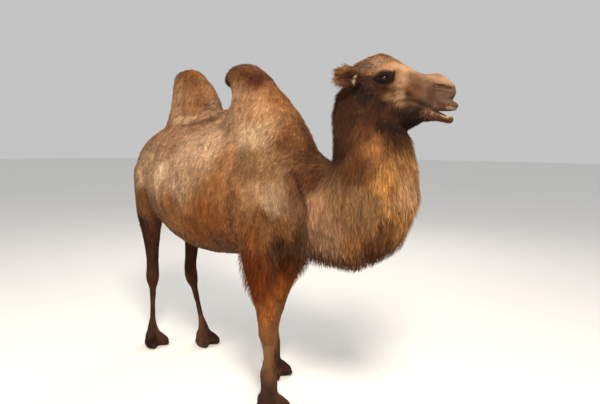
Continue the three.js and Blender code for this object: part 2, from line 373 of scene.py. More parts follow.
trimmed(hide, SEAM_POINT - SEAM_NORMAL * (SEAM_DROP + SEAM_BAND), keep_above=False)
trimmed(head, SEAM_POINT - SEAM_NORMAL * (SEAM_DROP - SEAM_BAND), keep_above=True)
only(hide, head)
bpy.ops.object.join()
bpy.ops.object.mode_set(mode="EDIT")
bpy.ops.mesh.select_all(action="DESELECT")
bpy.ops.mesh.select_mode(type="EDGE")
bpy.ops.mesh.select_non_manifold()
bpy.ops.mesh.bridge_edge_loops()
bpy.ops.mesh.select_all(action="DESELECT")
bpy.ops.mesh.select_non_manifold()
bpy.ops.object.mode_set(mode="OBJECT")
left_open = sum(edge.select for edge in hide.data.edges)
print("hide has", len(hide.data.polygons), "faces,", left_open, "open edges")

# %% [markdown]
# ## What grows where
# One table describes the whole coat. Each row is a place on the animal, which way the hair lies there,
# how long and wide its locks are in millimetres, how far they stand up in degrees, their colour, and how
# far the row's say reaches in metres. Any point on the hide takes a mix of the rows near it, so one set
# of rules gives the hide its markings, the coat its colours, and the locks their length and lie. Rows are
# written for the left side and mirrored to the right.

# %% Colours of a summer coat
TONES = {
    "cream": "#dab68e",
    "sand": "#c69e7d",
    "dust": "#b08c6c",
    "camel": "#aa7f5c",
    "honey": "#a8743f",
    "fawn": "#9a6c47",
    "ash": "#96745a",
    "bay": "#8e5e36",
    "hazel": "#82603f",
    "ginger": "#844d24",
    "walnut": "#70482a",
    "copper": "#a3591f",
    "rust": "#662c0c",
    "chestnut": "#643e2a",
    "umber": "#55331d",
    "blush": "#522b1c",
    "sable": "#431a05",
    "peat": "#3a2012",
    "soot": "#18100c",
    "rose": "#a4795a",
    "slate": "#6c5648",
    "mask": "#241611",
    "temple": "#3c281f",
    "jowl": "#543729",
    "lip": "#b89877",
}
TONES = {name: linear(colour) for name, colour in TONES.items()}
print(len(TONES), "tones")

# %% Rows of the body
BODY_ROWS = [
    # place, lie, length, width, lift, tone, reach
    ((-0.90, 0.06, 1.56), (-0.9, 0, -0.5), 20, 4.0, 13, "camel", 0.14),
    ((-0.70, 0.10, 1.68), (-0.9, 0, -0.3), 20, 4.0, 13, "fawn", 0.15),
    ((-0.24, 0.29, 1.60), (-0.5, 0, -0.9), 18, 4.0, 12, "rose", 0.13),
    ((-0.24, 0.34, 1.45), (-0.4, 0, -0.9), 18, 4.0, 12, "cream", 0.11),
    ((-0.60, 0.26, 1.50), (-0.4, 0, -0.9), 17, 4.0, 12, "dust", 0.13),
    ((-0.62, 0.27, 1.38), (-0.3, 0, -1.0), 17, 4.0, 12, "dust", 0.12),
    ((-0.86, 0.16, 1.34), (-0.3, 0, -1.0), 20, 4.0, 13, "walnut", 0.13),
    ((-0.60, 0.25, 1.20), (-0.2, 0, -1.0), 19, 4.0, 12, "walnut", 0.13),
    ((-0.66, 0.22, 1.03), (-0.2, 0, -1.0), 30, 3.8, 15, "mask", 0.08),
    ((0.08, 0.31, 1.60), (-0.5, 0, -0.9), 19, 4.0, 12, "sand", 0.11),
    ((0.26, 0.29, 1.60), (-0.4, 0, -0.9), 20, 4.0, 12, "sand", 0.12),
    ((0.42, 0.30, 1.51), (-0.3, 0, -1.0), 21, 4.0, 12, "fawn", 0.11),
    ((0.39, 0.33, 1.39), (-0.2, 0, -1.0), 22, 4.0, 12, "bay", 0.13),
    ((0.02, 0.36, 1.42), (-0.25, 0, -1.0), 21, 4.0, 12, "dust", 0.15),
    ((0.31, 0.35, 1.20), (-0.15, 0, -1.0), 24, 4.0, 12, "ginger", 0.14),
    ((-0.05, 0.35, 1.20), (-0.2, 0, -1.0), 24, 4.0, 12, "bay", 0.14),
    ((0.15, 0.30, 1.07), (-0.15, 0, -1.0), 26, 4.0, 13, "ginger", 0.11),
    # the belly rows are darker: partly the coat's own colour and partly painted shade under the barrel
    ((0.30, 0.20, 0.96), (-0.2, 0, -1.0), 28, 4.0, 14, "chestnut", 0.12),
    ((0.10, 0.00, 0.92), (-0.7, 0, -0.7), 28, 4.0, 15, "umber", 0.20),
    ((-0.45, 0.08, 1.00), (-0.7, 0, -0.7), 22, 4.0, 14, "umber", 0.17),
    ((0.03, 0.15, 1.80), (-0.5, 0, -0.8), 24, 4.0, 14, "rose", 0.10),
    ((0.03, 0.00, 1.84), (-0.9, 0, -0.3), 24, 4.0, 15, "ash", 0.11),
    ((0.34, 0.21, 1.745), (-0.3, 0, -1.0), 22, 4.0, 13, "ash", 0.07),
    ((0.75, 0.05, 1.66), (-0.5, 0, -0.8), 30, 3.8, 15, "walnut", 0.09),
    ((0.90, 0.02, 1.57), (-0.5, 0, -0.8), 34, 3.8, 16, "umber", 0.07),
    ((0.76, 0.21, 1.36), (-0.1, 0, -1.0), 20, 4.0, 11, "lip", 0.06),
    ((0.72, 0.22, 1.48), (-0.2, 0, -1.0), 20, 4.0, 11, "hazel", 0.07),
    ((0.78, 0.20, 1.28), (0, 0, -1.0), 22, 4.0, 12, "lip", 0.05),
    ((0.67, 0.26, 1.38), (-0.1, 0, -1.0), 20, 4.0, 11, "camel", 0.07),
    ((0.60, 0.26, 1.54), (-0.3, 0, -1.0), 22, 4.0, 12, "hazel", 0.10),
    ((0.80, 0.185, 1.18), (0, 0, -1.0), 24, 4.0, 12, "bay", 0.08),
    ((0.70, 0.25, 1.20), (0, 0, -1.0), 24, 4.0, 12, "walnut", 0.08),
    ((0.64, 0.29, 1.11), (-0.2, 0, -1.0), 44, 3.8, 17, "ginger", 0.055),
    # humps
    ((-0.39, 0.00, 2.16), (-0.5, 0.4, -0.3), 24, 4.0, 18, "rust", 0.06),
    ((-0.27, 0.08, 2.09), (-0.2, 0.3, -0.9), 22, 4.0, 14, "bay", 0.08),
    ((-0.47, 0.06, 2.08), (-0.4, 0.2, -0.8), 22, 4.0, 15, "walnut", 0.07),
    ((-0.14, 0.11, 1.93), (-0.1, 0.2, -1.0), 22, 4.0, 13, "fawn", 0.10),
    ((-0.40, 0.15, 1.95), (-0.3, 0.2, -1.0), 22, 4.0, 13, "camel", 0.12),
    ((-0.58, 0.00, 1.86), (-0.6, 0, -0.8), 22, 4.0, 13, "camel", 0.12),
    ((0.20, 0.00, 2.14), (-0.7, 0.3, -0.3), 28, 4.0, 20, "umber", 0.065),
    ((0.34, 0.10, 2.07), (-0.2, 0.4, -0.9), 24, 4.0, 15, "walnut", 0.08),
    ((0.46, 0.07, 2.03), (0.1, 0.3, -1.0), 24, 4.0, 14, "blush", 0.06),
    ((0.54, 0.14, 1.84), (-0.1, 0.2, -1.0), 22, 4.0, 12, "camel", 0.10),
    ((0.60, 0.00, 1.90), (0.2, 0, -1.0), 24, 4.0, 13, "bay", 0.10),
    ((0.58, 0.18, 1.69), (-0.2, 0, -1.0), 22, 4.0, 12, "lip", 0.09),
    ((0.30, 0.16, 1.95), (-0.2, 0.2, -1.0), 22, 4.0, 12, "camel", 0.09),
    ((0.12, 0.05, 1.95), (-0.7, 0.2, -0.8), 22, 4.0, 13, "rust", 0.09),
    # neck
    ((1.06, 0.03, 1.88), (-0.4, 0, -1.0), 34, 3.8, 16, "peat", 0.08),
    ((1.05, 0.05, 1.72), (-0.3, 0, -1.0), 36, 3.8, 16, "umber", 0.10),
    ((0.98, 0.06, 1.59), (-0.6, 0, -0.8), 34, 3.8, 16, "umber", 0.07),
    ((1.20, 0.11, 1.77), (-0.1, 0, -1.0), 30, 3.8, 13, "peat", 0.07),
    ((1.17, 0.13, 1.61), (-0.1, 0, -1.0), 30, 3.8, 13, "peat", 0.08),
    ((1.32, 0.11, 1.70), (0, 0, -1.0), 34, 3.8, 13, "umber", 0.06),
    ((1.37, 0.09, 1.64), (0.05, 0, -1.0), 36, 3.8, 14, "bay", 0.06),
    ((1.42, 0.00, 1.71), (-0.1, 0, -1.0), 36, 3.8, 15, "peat", 0.07),
    ((1.46, 0.08, 1.46), (0, 0, -1.0), 46, 3.8, 14, "honey", 0.08),
    ((1.53, 0.00, 1.42), (0, 0, -1.0), 48, 3.8, 15, "camel", 0.08),
    ((1.30, 0.16, 1.50), (0, 0, -1.0), 38, 3.8, 13, "umber", 0.09),
    ((1.34, 0.15, 1.36), (0, 0, -1.0), 40, 3.8, 13, "hazel", 0.08),
    ((1.23, 0.18, 1.36), (0, 0, -1.0), 36, 3.8, 12, "hazel", 0.08),
    ((1.10, 0.185, 1.30), (0, 0, -1.0), 34, 3.8, 12, "rose", 0.09),
    ((1.03, 0.19, 1.48), (-0.1, 0, -1.0), 30, 3.8, 12, "umber", 0.09),
    ((1.50, 0.05, 1.26), (0, 0, -1.0), 46, 3.8, 16, "honey", 0.06),
    ((1.16, 0.16, 1.14), (0, 0, -1.0), 42, 3.8, 14, "rose", 0.08),
    ((1.28, 0.12, 1.12), (0, 0, -1.0), 44, 3.8, 16, "bay", 0.07),
    ((1.36, 0.08, 1.08), (0, 0, -1.0), 42, 3.8, 18, "sable", 0.06),
    ((1.20, 0.06, 1.00), (0, 0, -1.0), 40, 3.8, 20, "umber", 0.08),
    ((1.34, 0.00, 1.05), (0, 0, -1.0), 40, 3.8, 20, "blush", 0.06),
    ((1.02, 0.06, 0.99), (0, 0, -1.0), 40, 3.8, 18, "umber", 0.08),
    ((0.90, 0.00, 1.02), (-0.2, 0, -1.0), 60, 3.8, 20, "umber", 0.08),
    ((0.76, 0.00, 0.98), (-0.2, 0, -1.0), 70, 3.8, 24, "umber", 0.08),
    # tail
    ((-0.96, 0.00, 1.50), (-0.2, 0, -1.0), 34, 3.8, 14, "camel", 0.06),
    ((-1.00, 0.00, 1.30), (0, 0, -1.0), 40, 3.8, 14, "chestnut", 0.07),
    ((-0.99, 0.00, 1.08), (0, 0, -1.0), 80, 3.8, 11, "peat", 0.08),
]
print(len(BODY_ROWS), "rows on one side of the body")

# %% Rows of the head
HEAD_ROWS = [
    # the same, but place and lie are forward, side, up in the head's frame
    ((0.335, 0.00, -0.085), (0.6, 0, -0.8), 6, 2.6, 12, "slate", 0.030),
    ((0.300, 0.00, -0.010), (1.0, 0, -0.2), 6, 2.6, 10, "dust", 0.030),
    ((0.230, 0.032, 0.004), (1.0, 0, -0.1), 7, 2.6, 10, "ash", 0.030),
    ((0.194, 0.054, -0.030), (1.0, 0, -0.1), 7, 2.6, 10, "ash", 0.026),
    ((0.165, 0.020, 0.018), (1.0, 0, -0.1), 8, 2.6, 10, "ash", 0.030),
    ((0.110, 0.030, 0.038), (1.0, 0, -0.1), 9, 2.7, 11, "dust", 0.040),
    ((0.102, 0.074, -0.010), (0.4, 0, -0.8), 9, 2.7, 10, "ash", 0.030),
    ((0.282, 0.054, -0.118), (0.4, 0.2, -0.9), 7, 2.6, 12, "jowl", 0.034),
    ((0.238, 0.062, -0.088), (0.3, 0.2, -0.9), 7, 2.6, 11, "jowl", 0.026),
    ((0.197, 0.060, -0.100), (0.0, 0.2, -0.9), 8, 2.7, 11, "slate", 0.028),
    ((0.235, 0.055, -0.140), (0.0, 0, -1.0), 9, 2.7, 15, "slate", 0.024),
    ((0.176, 0.052, -0.140), (0.0, 0, -1.0), 9, 2.7, 14, "soot", 0.024),
    ((0.280, 0.030, -0.205), (-0.6, 0, -0.8), 6, 2.4, 10, "jowl", 0.034),
    ((0.215, 0.030, -0.225), (-0.2, 0, -1.0), 14, 2.7, 18, "umber", 0.026),
    ((0.150, 0.048, -0.180), (-0.5, 0, -0.9), 14, 2.9, 14, "soot", 0.030),
    ((0.120, 0.040, -0.220), (-0.5, 0, -0.9), 20, 3.3, 16, "soot", 0.044),
    ((0.020, 0.040, -0.260), (-0.3, 0, -1.0), 32, 3.7, 18, "peat", 0.070),
    ((0.140, 0.066, -0.075), (-0.3, 0, -0.9), 9, 2.7, 10, "walnut", 0.040),
    ((0.085, 0.075, -0.108), (-0.6, 0, -0.7), 10, 2.7, 11, "dust", 0.032),
    ((0.120, 0.060, -0.130), (-0.5, 0, -0.8), 10, 2.9, 11, "soot", 0.026),
    ((0.054, 0.070, -0.170), (-0.6, 0, -0.8), 14, 3.2, 13, "mask", 0.036),
    ((-0.017, 0.085, -0.145), (-0.7, 0, -0.7), 16, 3.3, 13, "mask", 0.036),
    ((0.040, 0.090, -0.100), (-0.6, 0, -0.7), 11, 3.0, 11, "hazel", 0.026),
    ((0.000, 0.106, 0.004), (-0.6, 0, -0.5), 5, 2.3, 8, "chestnut", 0.040),
    ((0.062, 0.079, 0.020), (-0.4, 0, -0.7), 7, 2.4, 9, "hazel", 0.016),
    ((-0.070, 0.100, -0.002), (-0.8, 0, -0.4), 8, 2.6, 9, "jowl", 0.020),
    ((0.000, 0.100, -0.058), (-0.5, 0, -0.8), 8, 2.7, 10, "peat", 0.028),
    ((-0.020, 0.092, 0.036), (-0.7, 0.3, 0.3), 11, 2.9, 14, "ash", 0.022),
    ((-0.070, 0.090, 0.030), (-0.8, 0.3, 0.2), 12, 2.9, 14, "hazel", 0.022),
    ((0.020, 0.080, 0.052), (-0.5, 0.3, 0.5), 11, 2.9, 14, "camel", 0.026),
    ((0.041, 0.037, 0.086), (-0.3, 0.2, 0.8), 11, 2.9, 14, "hazel", 0.036),
    ((-0.015, 0.020, 0.120), (-0.4, 0, 0.8), 15, 3.3, 17, "chestnut", 0.040),
    ((-0.090, 0.000, 0.128), (-0.8, 0, 0.2), 18, 3.5, 18, "bay", 0.050),
    ((-0.040, 0.070, 0.085), (-0.6, 0.4, 0.3), 13, 3.2, 16, "ash", 0.034),
    ((-0.100, 0.070, 0.075), (-0.8, 0.3, 0), 17, 3.3, 17, "slate", 0.040),
    ((-0.160, 0.030, 0.080), (-0.8, 0, -0.4), 24, 3.6, 18, "walnut", 0.050),
    ((-0.094, 0.094, -0.012), (-0.8, 0, -0.4), 12, 3.0, 12, "peat", 0.034),
    ((-0.094, 0.088, -0.086), (-0.6, 0, -0.8), 17, 3.3, 13, "mask", 0.044),
    ((-0.130, 0.085, -0.050), (-0.6, 0, -0.8), 18, 3.5, 14, "mask", 0.040),
    ((-0.170, 0.070, -0.120), (-0.4, 0, -0.9), 26, 3.7, 15, "peat", 0.050),
    ((-0.060, 0.090, -0.190), (-0.4, 0, -0.9), 24, 3.7, 14, "peat", 0.045),
    # ears: back, rims, then inside
    ((-0.200, 0.115, 0.010), (-0.7, 0.5, 0), 22, 2.9, 20, "walnut", 0.035),
    ((-0.185, 0.125, 0.056), (-0.5, 0.3, 0.8), 26, 2.9, 34, "hazel", 0.022),
    ((-0.236, 0.150, 0.020), (-0.7, 0.6, 0.3), 30, 2.9, 34, "bay", 0.022),
    ((-0.236, 0.148, -0.025), (-0.6, 0.6, -0.5), 32, 2.9, 34, "hazel", 0.022),
    ((-0.185, 0.128, -0.062), (-0.4, 0.5, -0.9), 34, 2.9, 32, "chestnut", 0.022),
    ((-0.150, 0.125, -0.030), (0.2, 0.5, -0.6), 24, 2.9, 32, "temple", 0.016),
    ((-0.170, 0.136, 0.004), (-0.5, 0.4, -0.5), 12, 2.6, 14, "mask", 0.028),
]
print(len(HEAD_ROWS), "rows on one side of the head")

# %% Rows of the legs
LEG_ROWS = {
    # share of the way down, tone outside, tone inside, length, lift
    "fore_upper": (
        (0.00, "rust", "umber", 66, 24), (0.20, "rust", "rust", 72, 27), (0.42, "rust", "copper", 46, 20),
        (0.62, "ginger", "copper", 24, 13), (0.80, "ginger", "ginger", 16, 12),
        (0.95, "walnut", "bay", 11, 11),
    ),
    "fore_lower": (
        (0.05, "walnut", "bay", 9, 11), (0.22, "hazel", "walnut", 8, 11), (0.50, "hazel", "walnut", 8, 11),
        (0.72, "chestnut", "jowl", 12, 14), (0.95, "temple", "jowl", 9, 12),
    ),
    "hind_upper": (
        (0.00, "sable", "umber", 20, 13), (0.35, "sable", "umber", 14, 12), (0.70, "peat", "peat", 11, 11),
        (0.95, "umber", "peat", 9, 11),
    ),
    "hind_lower": (
        (0.10, "peat", "umber", 9, 11), (0.40, "peat", "umber", 8, 11), (0.70, "temple", "umber", 8, 11),
        (0.95, "temple", "walnut", 9, 12),
    ),
    "foot": ((0.30, "temple", "jowl", 9, 13), (0.80, "mask", "jowl", 8, 13)),
}
print(sum(len(rows) for rows in LEG_ROWS.values()), "rows down the legs")

# %% [markdown]
# ## Legs in the table
# Each leg stands in its own pose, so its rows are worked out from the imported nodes: the top and bottom of
# a node give its axis, and the shares above say how far down it each row sits. Hair on a leg lies down
# it.

# %% Rows for the four legs
LEGS = ("fore_right", "fore_left", "hind_right", "hind_left")
END_BAND = 0.12  # share of a node's height that counts as its end
LEG_HALF = 0.045  # from the axis of a leg to the rows on either side of it
LEG_WIDTH, LEG_REACH = 4.0, 0.07
DOWN = (0, 0, -1)


def ends_of(node):
    points = points_of(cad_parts[node])
    low, high = points[:, 2].min(), points[:, 2].max()
    band = (high - low) * END_BAND
    top = points[points[:, 2] > high - band].mean(axis=0)
    bottom = points[points[:, 2] < low + band].mean(axis=0)
    return top, bottom


def part_way(ends, share):
    top, bottom = ends
    return top + (bottom - top) * share


def leg_rows():
    rows = []
    for leg in LEGS:
        kind, side = leg.split("_")
        outward = np.array((0, SIDES[side] * LEG_HALF, 0))
        for node, steps in (
            (f"leg_{leg}_upper", LEG_ROWS[kind + "_upper"]),
            (f"leg_{leg}_lower", LEG_ROWS[kind + "_lower"]),
            (f"foot_{leg}", LEG_ROWS["foot"]),
        ):
            ends = ends_of(node)
            for share, outside, inside, length, lift in steps:
                place = part_way(ends, share)
                rows.append((place + outward, DOWN, length, LEG_WIDTH, lift, outside, LEG_REACH))
                rows.append((place - outward, DOWN, length, LEG_WIDTH, lift, inside, LEG_REACH))
    return rows


def on_side(sign, triple):
    x, y, z = triple
    return x, sign * y, z


def coat_rows():
    rows = []
    for sign in (-1, 1):
        for place, lie, *rest in BODY_ROWS:
            rows.append((at(*on_side(sign, place)), on_side(sign, lie), *rest))
        for place, lie, *rest in HEAD_ROWS:
            rows.append((on_head(*on_side(sign, place)), along_head(*on_side(sign, lie)), *rest))
    return rows + leg_rows()


ROWS = coat_rows()
ROW_PLACES = np.array([row[0] for row in ROWS])
ROW_VALUES = np.array([
    [*unit(np.array(lie, float)), length / 1000, width / 1000, math.radians(lift), *TONES[tone]]
    for _, lie, length, width, lift, tone, _ in ROWS
])
ROW_REACH = np.array([row[-1] for row in ROWS])
print(len(ROWS), "rows in all")

# %% [markdown]
# ## Marks
# Some markings are lines or patches with an edge of their own: the dark patch round a camel's eye, the
# line of the lips. The dark fold before the thigh is painted shade, darkening a crease. Each is a stroke,
# a short path with a radius in millimetres, a tone and how strongly it covers. The same kind of stroke
# later raises bone and muscle.

# %% Strokes of colour on the body
FLANK_FOLD = (
    (-0.397, 0.309, 1.410), (-0.360, 0.325, 1.330), (-0.332, 0.329, 1.247), (-0.330, 0.305, 1.160),
    (-0.280, 0.280, 1.050),
)
NECK_FOLD = (
    (0.896, 0.185, 1.47), (0.971, 0.205, 1.37), (0.997, 0.20, 1.28), (0.962, 0.178, 1.157),
    (0.843, 0.114, 1.058),
)
BODY_MARKS = [
    # path, radius, tone, strength
    # painted shade: the first four strokes darken the folds before the thigh, behind the upper arm, down
    # the neck and along the back under the humps
    (((-0.445, 0.279, 1.500), *FLANK_FOLD), 36, "umber", 0.5),
    (((0.516, 0.316, 1.338), (0.488, 0.318, 1.235), (0.475, 0.28, 1.10)), 48, "walnut", 0.6),
    (NECK_FOLD, 58, "umber", 0.7),
    (((-0.167, 0.17, 1.768), (-0.02, 0.17, 1.765), (0.12, 0.17, 1.785), (0.29, 0.178, 1.84)),
     44, "chestnut", 0.6),
    (((1.438, 0.064, 1.25), (1.415, 0.066, 1.14)), 62, "umber", 0.75),
    (((0.14, 0.06, 2.10), (0.24, 0.10, 2.12), (0.36, 0.10, 2.09), (0.44, 0.10, 2.03)), 50, "blush", 0.5),
    (((0.12, 0.03, 2.06), (0.14, 0.06, 2.03), (0.19, 0.08, 2.00)), 62, "mask", 0.75),
    (((-0.30, 0.06, 2.12), (-0.20, 0.08, 2.03), (-0.13, 0.08, 1.95), (-0.08, 0.06, 1.88)),
     56, "blush", 0.42),
    (((-0.30, 0.165, 1.79), (-0.198, 0.151, 1.79), (-0.11, 0.14, 1.80)), 42, "cream", 0.45),
]
print(len(BODY_MARKS), "marks on one side of the body")

# %% Strokes of colour on the head
HEAD_MARKS = [
    # path in the head's frame, radius, tone, strength
    (((-0.018, 0.102, -0.003), (0.026, 0.094, 0.000)), 42, "mask", 0.9),
    (((-0.034, 0.104, -0.034), (0.000, 0.106, -0.030), (0.036, 0.094, -0.018)), 26, "soot", 0.85),
    (((-0.072, 0.098, -0.006), (-0.030, 0.102, -0.006)), 24, "mask", 0.7),
    (((0.018, 0.094, 0.010), (0.044, 0.086, 0.014)), 24, "mask", 0.95),
    # the dark line under the eye: partly the skin's own colour and partly painted shade in the crease there
    (((-0.030, 0.102, -0.050), (0.020, 0.100, -0.060), (0.047, 0.090, -0.060)), 24, "peat", 0.6),
    (((-0.040, 0.102, -0.012), (-0.028, 0.102, -0.008)), 17, "soot", 0.95),
    (((0.034, 0.094, -0.006), (0.046, 0.088, 0.002)), 15, "soot", 0.95),
    (((0.050, 0.060, 0.062), (0.085, 0.048, 0.055)), 28, "sand", 0.5),
    (((-0.017, 0.085, -0.150), (0.054, 0.075, -0.175)), 48, "peat", 0.45),
    (((0.100, 0.062, -0.176), (0.155, 0.050, -0.176)), 44, "mask", 0.75),
    (((0.000, 0.100, -0.235), (0.060, 0.060, -0.245), (0.105, 0.036, -0.245)), 52, "mask", 0.8),
    (((0.150, 0.060, -0.020), (0.185, 0.060, -0.050), (0.230, 0.060, -0.080), (0.285, 0.054, -0.115)),
     62, "jowl", 0.42),
    (((0.150, 0.062, -0.030), (0.185, 0.060, -0.045), (0.215, 0.056, -0.030)), 34, "jowl", 0.35),
    (((0.128, 0.056, 0.008), (0.150, 0.060, -0.014), (0.170, 0.060, -0.045)), 34, "jowl", 0.40),
    (((0.225, 0.062, -0.060), (0.220, 0.064, -0.090)), 32, "jowl", 0.5),
    (((0.270, 0.060, -0.090), (0.320, 0.045, -0.120)), 34, "slate", 0.6),
    (((-0.094, 0.092, -0.090), (-0.122, 0.092, -0.045), (-0.143, 0.100, -0.012)), 52, "mask", 0.75),
    (((-0.090, 0.096, -0.020), (-0.070, 0.096, -0.060)), 34, "temple", 0.7),
    (((0.120, 0.064, -0.085), (0.128, 0.060, -0.115), (0.140, 0.056, -0.150)), 30, "temple", 0.75),
    (((0.197, 0.027, -0.212), (0.150, 0.040, -0.202)), 28, "mask", 0.9),
    (((0.185, 0.034, -0.172), (0.240, 0.034, -0.192)), 22, "jowl", 0.7),
    (((0.245, 0.036, -0.200), (0.290, 0.030, -0.207)), 24, "jowl", 0.85),
    (((0.205, 0.042, -0.157), (0.240, 0.040, -0.170), (0.272, 0.038, -0.180), (0.300, 0.032, -0.188),
      (0.322, 0.000, -0.190)), 13, "lip", 0.9),
    (((0.140, 0.068, -0.116), (0.185, 0.064, -0.134), (0.235, 0.058, -0.146)), 8, "rose", 0.5),
    (((0.300, 0.048, -0.155), (0.337, 0.034, -0.155), (0.346, 0.008, -0.152)), 11, "lip", 0.7),
    (((-0.142, 0.114, 0.008), (-0.180, 0.140, 0.004), (-0.198, 0.151, -0.002)), 32, "mask", 0.65),
    (((-0.158, 0.130, 0.022), (-0.166, 0.136, -0.022)), 7, "honey", 0.6),
    (((-0.190, 0.150, 0.016), (-0.196, 0.154, -0.022)), 7, "bay", 0.6),
    (((-0.137, 0.112, 0.010), (-0.142, 0.118, -0.020)), 12, "dust", 0.85),
]
print(len(HEAD_MARKS), "marks on one side of the head")

# %% Laying strokes on points
FIRMNESS = 2  # how soon a mark covers fully, inwards from its edge


def reach_of(points, path, radius):
    best = np.full(len(points), np.inf)
    for start, end in zip(path, path[1:]):
        run = end - start
        share = np.clip((points - start) @ run / (run @ run), 0, 1)
        best = np.minimum(best, np.linalg.norm(points - start - share[:, None] * run, axis=1))
    return np.clip(1 - (best / radius) ** 2, 0, 1) ** 2


def mirrored(path, place):
    return [[place(*on_side(sign, point)) for point in path] for sign in (1, -1)]


def leg_marks():
    marks = []
    for leg in ("hind_right", "hind_left"):
        ends = ends_of(f"leg_{leg}_upper")
        marks.append(([[part_way(ends, 0.1), part_way(ends, 0.8)]], 115, "peat", 0.75))
    return marks


def marked(points, tones, marks):
    for paths, radius, tone, strength in marks:
        for path in paths:
            share = np.clip(reach_of(points, path, radius / 1000) * FIRMNESS, 0, 1)[:, None] * strength
            tones = tones * (1 - share) + TONES[tone] * share
    return tones


MARKS = [(mirrored(path, at), *rest) for path, *rest in BODY_MARKS]
MARKS += [(mirrored(path, on_head), *rest) for path, *rest in HEAD_MARKS]
MARKS += leg_marks()
print(len(MARKS), "marks in all, most of them on both sides")

# %% [markdown]
# ## Reading the table
# Nature draws no straight borders, so a point asks the table from a slightly wandered place. The wander
# is a soft lattice noise, the same one that later varies the colour of the wool. It is seeded, so every
# run gives the same animal.

# %% Soft noise and the coat at a point
LATTICE_SIDE = 32
rng = np.random.default_rng(20)
LATTICE = rng.random((LATTICE_SIDE, LATTICE_SIDE, LATTICE_SIDE, 3)) * 2 - 1


def wander(points, size):
    grid = points / size
    cell = np.floor(grid).astype(int)
    part = grid - cell
    part = part * part * (3 - 2 * part)
    total = np.zeros((len(points), 3))
    for corner in np.ndindex(2, 2, 2):
        share = np.prod(np.where(corner, part, 1 - part), axis=1)
        index = (cell + corner) % LATTICE_SIDE
        total += LATTICE[index[:, 0], index[:, 1], index[:, 2]] * share[:, None]
    return total


FACE_MIDDLE = on_head(0.08, 0, -0.06)
FACE_RADIUS, FACE_BORDER, FACE_CALM = 0.22, 0.15, 0.2  # on the face borders wander only a fifth as far
STREAKS = 0.32  # how far the tone wavers between neighbouring hanks of wool, as a share
HANK_SIZE, HANK_STRETCH = 0.028, (1, 1, 0.4)
BATCH = 20000  # points asked at a time, to save memory
SOFTEN = 0.02  # keeps a row from ruling alone at its own place


def coat_at(points):
    from_face = np.linalg.norm(points - FACE_MIDDLE, axis=1)
    calm = np.clip((from_face - FACE_RADIUS) / FACE_BORDER, FACE_CALM, 1)[:, None]
    asked = points + calm * (0.020 * wander(points, 0.16) + 0.006 * wander(points, 0.045))
    values = np.empty((len(points), ROW_VALUES.shape[1]))
    for start in range(0, len(points), BATCH):
        part = asked[start:start + BATCH]
        gap = np.linalg.norm(part[:, None] - ROW_PLACES[None], axis=2) / ROW_REACH
        weight = 1 / (gap ** 4 + SOFTEN)
        values[start:start + BATCH] = weight @ ROW_VALUES / weight.sum(axis=1, keepdims=True)
    ragged = points + 0.004 * wander(points, 0.020) + 0.003 * wander(points, 0.007)
    streaks = wander(points * HANK_STRETCH, HANK_SIZE)[:, :1]
    return {
        "lie": unit(values[:, 0:3]), "length": values[:, 3], "width": values[:, 4], "lift": values[:, 5],
        "tone": marked(ragged, values[:, 6:9], MARKS) * (1 + STREAKS * calm * streaks),
    }


print("noise lattice of", LATTICE_SIDE, "cells a side")

# %% [markdown]
# ## Sinking the hide under the coat
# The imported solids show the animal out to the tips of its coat, so the hide is sunk by the height at
# which the tips stand over it. Round the eyes and under the soles it isn't sunk at all. The facets of the
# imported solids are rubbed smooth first, hardest on the trunk.

# %% Rubbing smooth


def edges_of(piece):
    flat = np.empty(len(piece.data.edges) * 2, np.int32)
    piece.data.edges.foreach_get("vertices", flat)
    return flat.reshape(-1, 2)


def rubbed(points, edges, times, strength):
    touched = edges[(strength[edges] > 0.001).any(axis=1)]
    live, touched = np.unique(touched, return_inverse=True)
    touched = touched.reshape(-1, 2)
    part, power = points[live], strength[live, None]
    count = np.bincount(touched.ravel(), minlength=len(live))[:, None]
    for _ in range(times):
        total = np.column_stack([
            np.bincount(touched[:, 0], part[touched[:, 1], axis], len(live))
            + np.bincount(touched[:, 1], part[touched[:, 0], axis], len(live)) for axis in range(3)
        ])
        part = part + power * (total / count - part)
    points = points.copy()
    points[live] = part
    return points


def rising(values, start, width):
    return np.clip((values - start) / width, 0, 1)


def falling(values, start, width):
    return np.clip((start - values) / width, 0, 1)


def near(points, place, radius):
    gap = np.linalg.norm((points - place) / radius, axis=1)
    return np.clip(1 - gap ** 2, 0, 1) ** 2


def in_head_frame(points):
    away = points - (BETWEEN_EYES - ORIGIN)
    return away @ FORWARD, away @ SIDEWAYS, away @ UP


def legs_of(points):
    return falling(points[:, 2], LEG_TOP, 0.10)


LEG_TOP = at(0, 0, 1.02)[2]
LIDS_KEPT = 0.062  # round the middle of an eye nothing is rubbed away
skin_points = points_of(hide)
edges = edges_of(hide)
forward, side, up = in_head_frame(skin_points)
on_face = rising(forward, -0.20, 0.08) * rising(up, -0.34, 0.08)
on_leg = legs_of(skin_points)
broad = (1 - on_face) * (1 - on_leg)
mouth = falling(np.abs(forward - 0.25), 0.13, 0.03) * falling(up, -0.125, 0.02)
plain = on_face * falling(forward, 0.27, 0.05) * falling(abs(side), 0.110, 0.01)
for eye in EYES.values():
    plain *= 1 - near(skin_points, eye, LIDS_KEPT)
plain *= 1 - mouth
RUBS = (
    # times, strength: trunk and neck, everything, face, plain cheeks and bridge
    (14, 0.55 * broad),
    (2, 0.10 + 0.30 * on_leg),
    (5, 0.45 * on_face),
    (45, 0.6 * plain),
)
for times, strength in RUBS:
    skin_points = rubbed(skin_points, edges, times, strength)
move_points(hide, skin_points)
print(len(skin_points), "points rubbed smooth")

